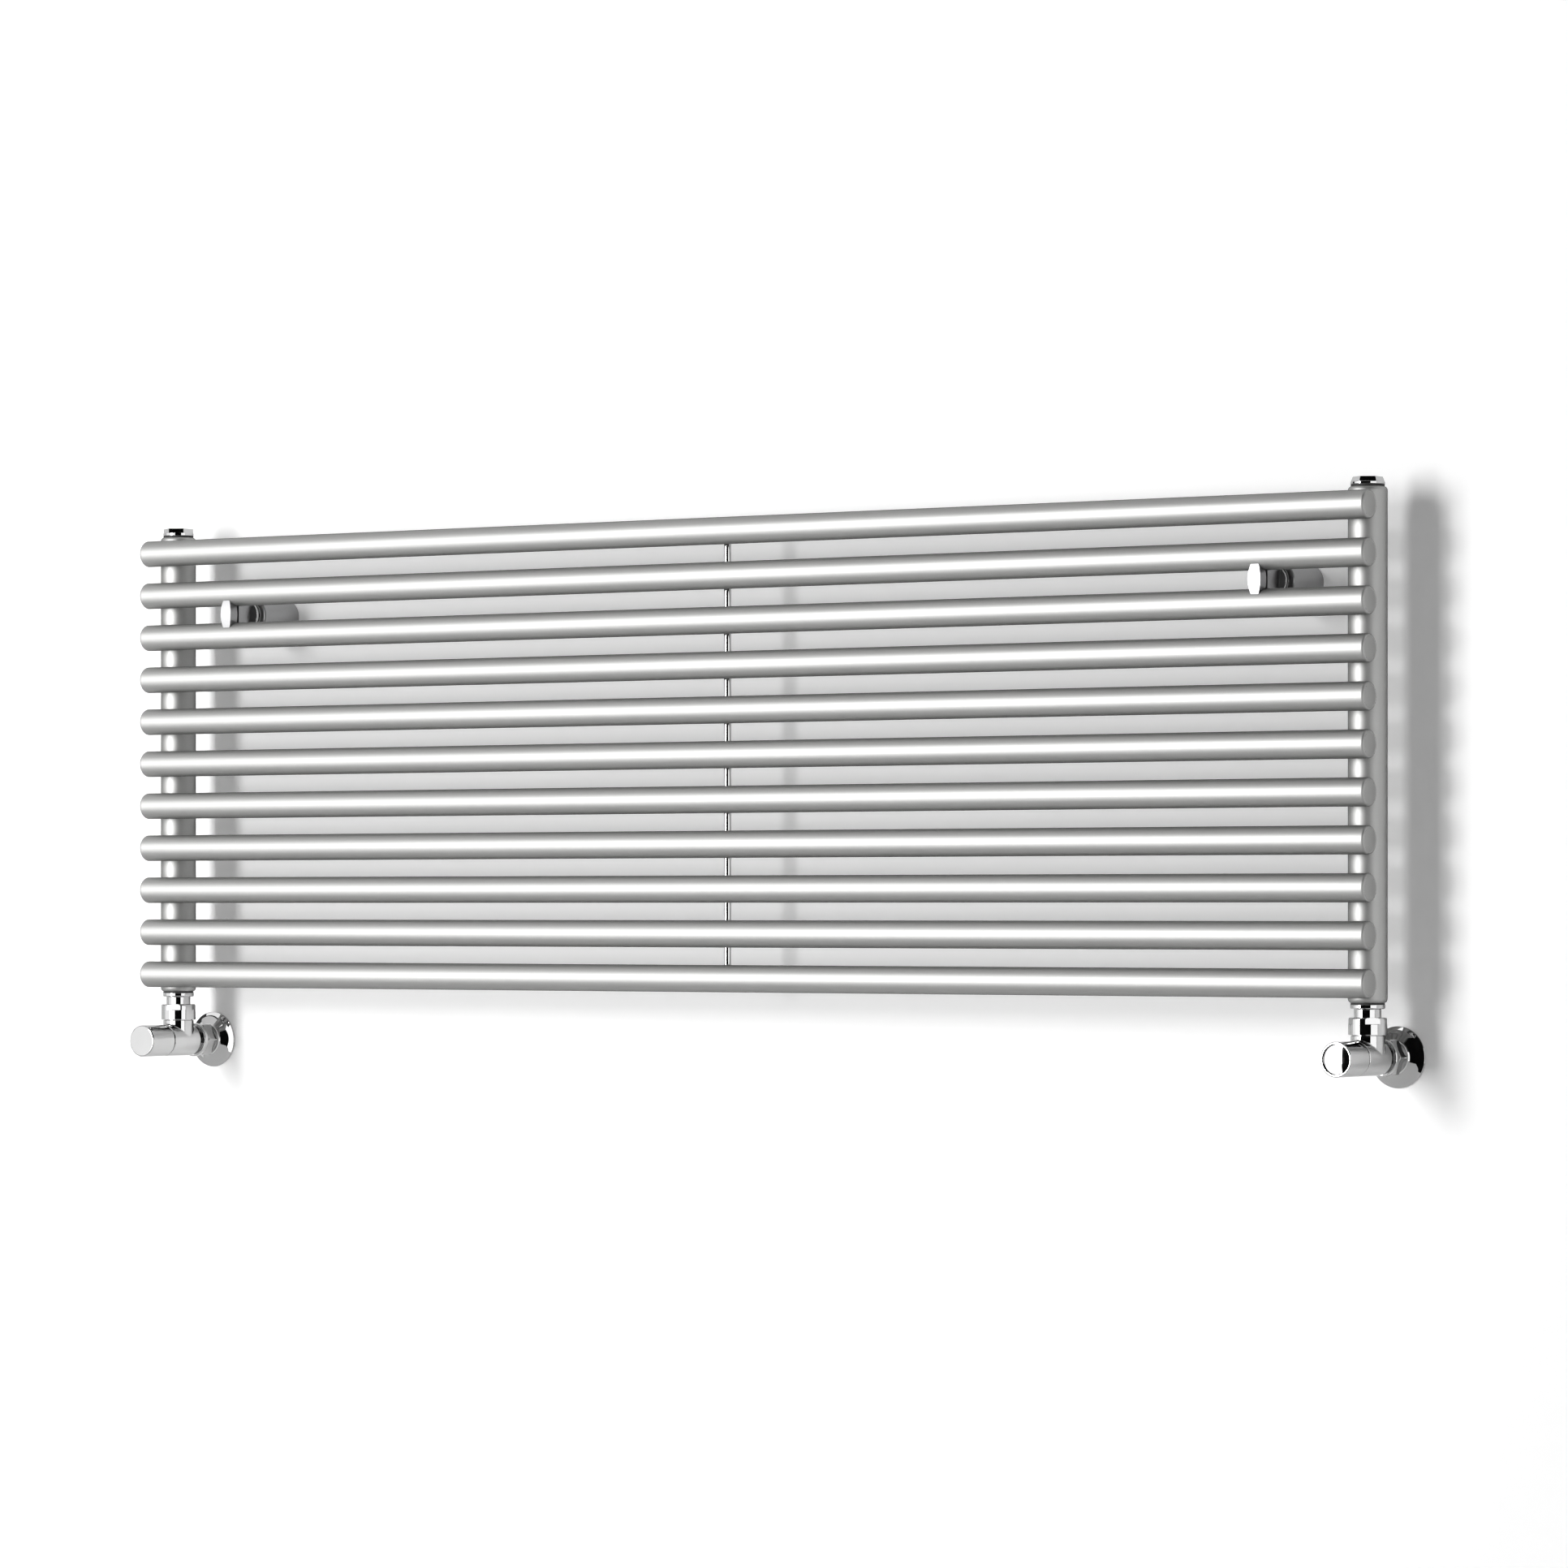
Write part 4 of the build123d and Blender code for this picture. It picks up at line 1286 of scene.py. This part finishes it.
@dataclass
class Studio:
    """The wall, the floor, the light and the camera."""

    wall_y: float = 0.0004
    wall_half_width: float = 4.0
    wall_height: float = 3.4
    floor_z: float = -1.1
    wall_tone: float = 0.92
    wall_lift: float = 0.17
    floor_tone: float = 0.55
    floor_lift: float = 0.3
    ambient: float = 0.07
    flag_tone: float = 0.01
    flag_place: Triple = (1.15, -1.8, 0.4)
    flag_half_width: float = 1.25
    flag_half_height: float = 1.5
    azimuth: float = 34.8
    focal_pixels: float = 7836.0
    image_pixels: float = 1932.0
    horizon_pixel: float = 1118.0
    aside_pixels: float = -1.0
    sensor: float = 36.0
    sight: float = 50.0
    camera_back: float = 5.112
    camera_aside: float = 0.0538
    camera_z: float = -0.2487
    tube_y: float = -0.070
    panels: tuple[Panel, ...] = (
        Panel("key_panel", (-2.05, -5.5, 0.7), (0.0, -0.05, -0.12), 1.3, 3.5, 23.3),
        Panel("left_card", (-2.5, -1.75, 0.2), (-2.5, 0.0, 0.2), 2.2, 2.4, 1.5, mirrored_only=True),
        Panel("middle_card", (-0.75, -1.75, 0.2), (-0.75, 0.0, 0.2), 1.3, 2.4, 2.0, mirrored_only=True),
        Panel("top_card", (-3.3, -0.97, 2.05), (-3.3, -0.97, 0.0), 6.4, 1.9, 0.9, mirrored_only=True),
        Panel("side_card", (-3.6, -0.9, -0.3), (0.0, -0.9, -0.3), 1.6, 1.2, 0.9, mirrored_only=True),
        Panel("right_card", (2.5, -0.9, -0.2), (0.0, -0.9, -0.2), 1.7, 1.6, 1.8, mirrored_only=True),
    )

    def build(self) -> None:
        """Makes the studio."""
        self.wall()
        self.floor()
        self.flag()
        self.world()
        for panel in self.panels:
            panel.build()
        self.camera()
        bpy.context.scene.view_settings.view_transform = "Standard"

    def backdrop_material(self, name: str, tone: float, lift: float) -> bpy.types.Material:
        """Makes a pale material that is seen from its front only.

        Args:
            name: Name of the material.
            tone: Tone that takes light and shadow.
            lift: Light that is added where the surface is seen or mirrored.

        Returns:
            The material.
        """
        material = bpy.data.materials.new(name)
        material.use_nodes = True
        nodes = material.node_tree.nodes
        link = material.node_tree.links.new
        nodes.remove(nodes["Principled BSDF"])
        paper = nodes.new("ShaderNodeBsdfDiffuse")
        paper.inputs["Color"].default_value = (tone, tone, tone, 1.0)
        path = nodes.new("ShaderNodeLightPath")
        seen = path.outputs["Is Camera Ray"]
        for ray in ("Is Glossy Ray", "Is Transmission Ray"):
            either = nodes.new("ShaderNodeMath")
            either.operation = "MAXIMUM"
            link(seen, either.inputs[0])
            link(path.outputs[ray], either.inputs[1])
            seen = either.outputs["Value"]
        strength = nodes.new("ShaderNodeMath")
        strength.operation = "MULTIPLY"
        strength.inputs[1].default_value = lift
        link(seen, strength.inputs[0])
        glow = nodes.new("ShaderNodeEmission")
        link(strength.outputs["Value"], glow.inputs["Strength"])
        front = nodes.new("ShaderNodeAddShader")
        link(paper.outputs["BSDF"], front.inputs[0])
        link(glow.outputs["Emission"], front.inputs[1])
        geometry = nodes.new("ShaderNodeNewGeometry")
        clear = nodes.new("ShaderNodeBsdfTransparent")
        mix = nodes.new("ShaderNodeMixShader")
        link(geometry.outputs["Backfacing"], mix.inputs["Fac"])
        link(front.outputs["Shader"], mix.inputs[1])
        link(clear.outputs["BSDF"], mix.inputs[2])
        link(mix.outputs["Shader"], nodes["Material Output"].inputs["Surface"])
        return material

    def backdrop(self, name: str, placement: Matrix, material: bpy.types.Material) -> bpy.types.Object:
        """Makes a flat backdrop.

        Args:
            name: Name of the backdrop.
            placement: Place, turn and size of a unit square.
            material: Its material.

        Returns:
            The backdrop.
        """
        mesh = bpy.data.meshes.new(name)
        sheet = bmesh.new()
        bmesh.ops.create_grid(sheet, x_segments=1, y_segments=1, size=1.0)
        bmesh.ops.transform(sheet, matrix=placement, verts=sheet.verts[:])
        sheet.to_mesh(mesh)
        sheet.free()
        mesh.materials.append(material)
        flat = bpy.data.objects.new(name, mesh)
        bpy.context.scene.collection.objects.link(flat)
        return flat

    def wall(self) -> None:
        """Makes the wall, which faces the room."""
        middle = self.floor_z + self.wall_height / 2
        placement = (
            Matrix.Translation((0.0, self.wall_y, middle))
            @ Matrix.Rotation(math.pi / 2, 4, "X")
            @ Matrix.Diagonal((self.wall_half_width, self.wall_height / 2, 1.0, 1.0))
        )
        paint = self.backdrop_material("wall_paint", self.wall_tone, self.wall_lift)
        self.backdrop("wall", placement, paint)

    def floor(self) -> None:
        """Makes the floor below the radiator."""
        depth = self.wall_half_width
        placement = Matrix.Translation((0.0, self.wall_y - depth, self.floor_z)) @ Matrix.Diagonal(
            (self.wall_half_width, depth, 1.0, 1.0)
        )
        paint = self.backdrop_material("floor_paint", self.floor_tone, self.floor_lift)
        self.backdrop("floor", placement, paint)

    def flag(self) -> None:
        """Makes the black flag that draws the dark stripes in bright metal."""
        black = self.backdrop_material("flag_cloth", self.flag_tone, 0.0)
        placement = (
            Matrix.Translation(self.flag_place)
            @ Matrix.Rotation(-math.pi / 2, 4, "X")
            @ Matrix.Diagonal((self.flag_half_width, self.flag_half_height, 1.0, 1.0))
        )
        flag = self.backdrop("flag", placement, black)
        flag.visible_camera = False
        flag.visible_diffuse = False
        flag.visible_shadow = False

    def world(self) -> None:
        """Makes a plain grey surround that fills the shadows."""
        world = bpy.data.worlds.new("surround")
        world.use_nodes = True
        background = world.node_tree.nodes["Background"]
        background.inputs["Color"].default_value = (self.ambient, self.ambient, self.ambient, 1.0)
        bpy.context.scene.world = world

    def camera(self) -> None:
        """Places the camera at the photograph's viewing angle."""
        lens = bpy.data.cameras.new("camera")
        lens.sensor_width = self.sensor
        lens.lens = self.focal_pixels / self.image_pixels * self.sensor
        lens.shift_y = (self.horizon_pixel - self.image_pixels / 2) / self.image_pixels
        lens.shift_x = self.aside_pixels / self.image_pixels
        lens.clip_end = self.sight
        camera = bpy.data.objects.new("camera", lens)
        angle = math.radians(self.azimuth)
        aside = Vector((math.cos(angle), math.sin(angle), 0.0))
        back = Vector((math.sin(angle), -math.cos(angle), 0.0))
        stand = Vector((0.0, self.tube_y, self.camera_z))
        camera.location = stand + aside * self.camera_aside + back * self.camera_back
        camera.rotation_euler = (math.pi / 2, 0.0, angle)
        bpy.context.scene.collection.objects.link(camera)
        bpy.context.scene.camera = camera


def main() -> None:
    """Builds the studio and every piece."""
    logging.basicConfig(level=logging.INFO, format="%(name)s: %(message)s")
    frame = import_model()
    Studio().build()
    workshop = Workshop(frame["nodes"])
    TubeBank().build(workshop)
    CollectorPair().build(workshop)
    CollectorPlugs().build(workshop)
    HandValve(Side.RIGHT, flat_turn=45.0).build(workshop)
    LockshieldValve(Side.LEFT, flat_turn=25.0).build(workshop)
    for side in Side:
        WallBracket(side).build(workshop)
    InnerPieces().build(workshop)
    bpy.context.view_layer.update()


if __name__ == "__main__":
    main()
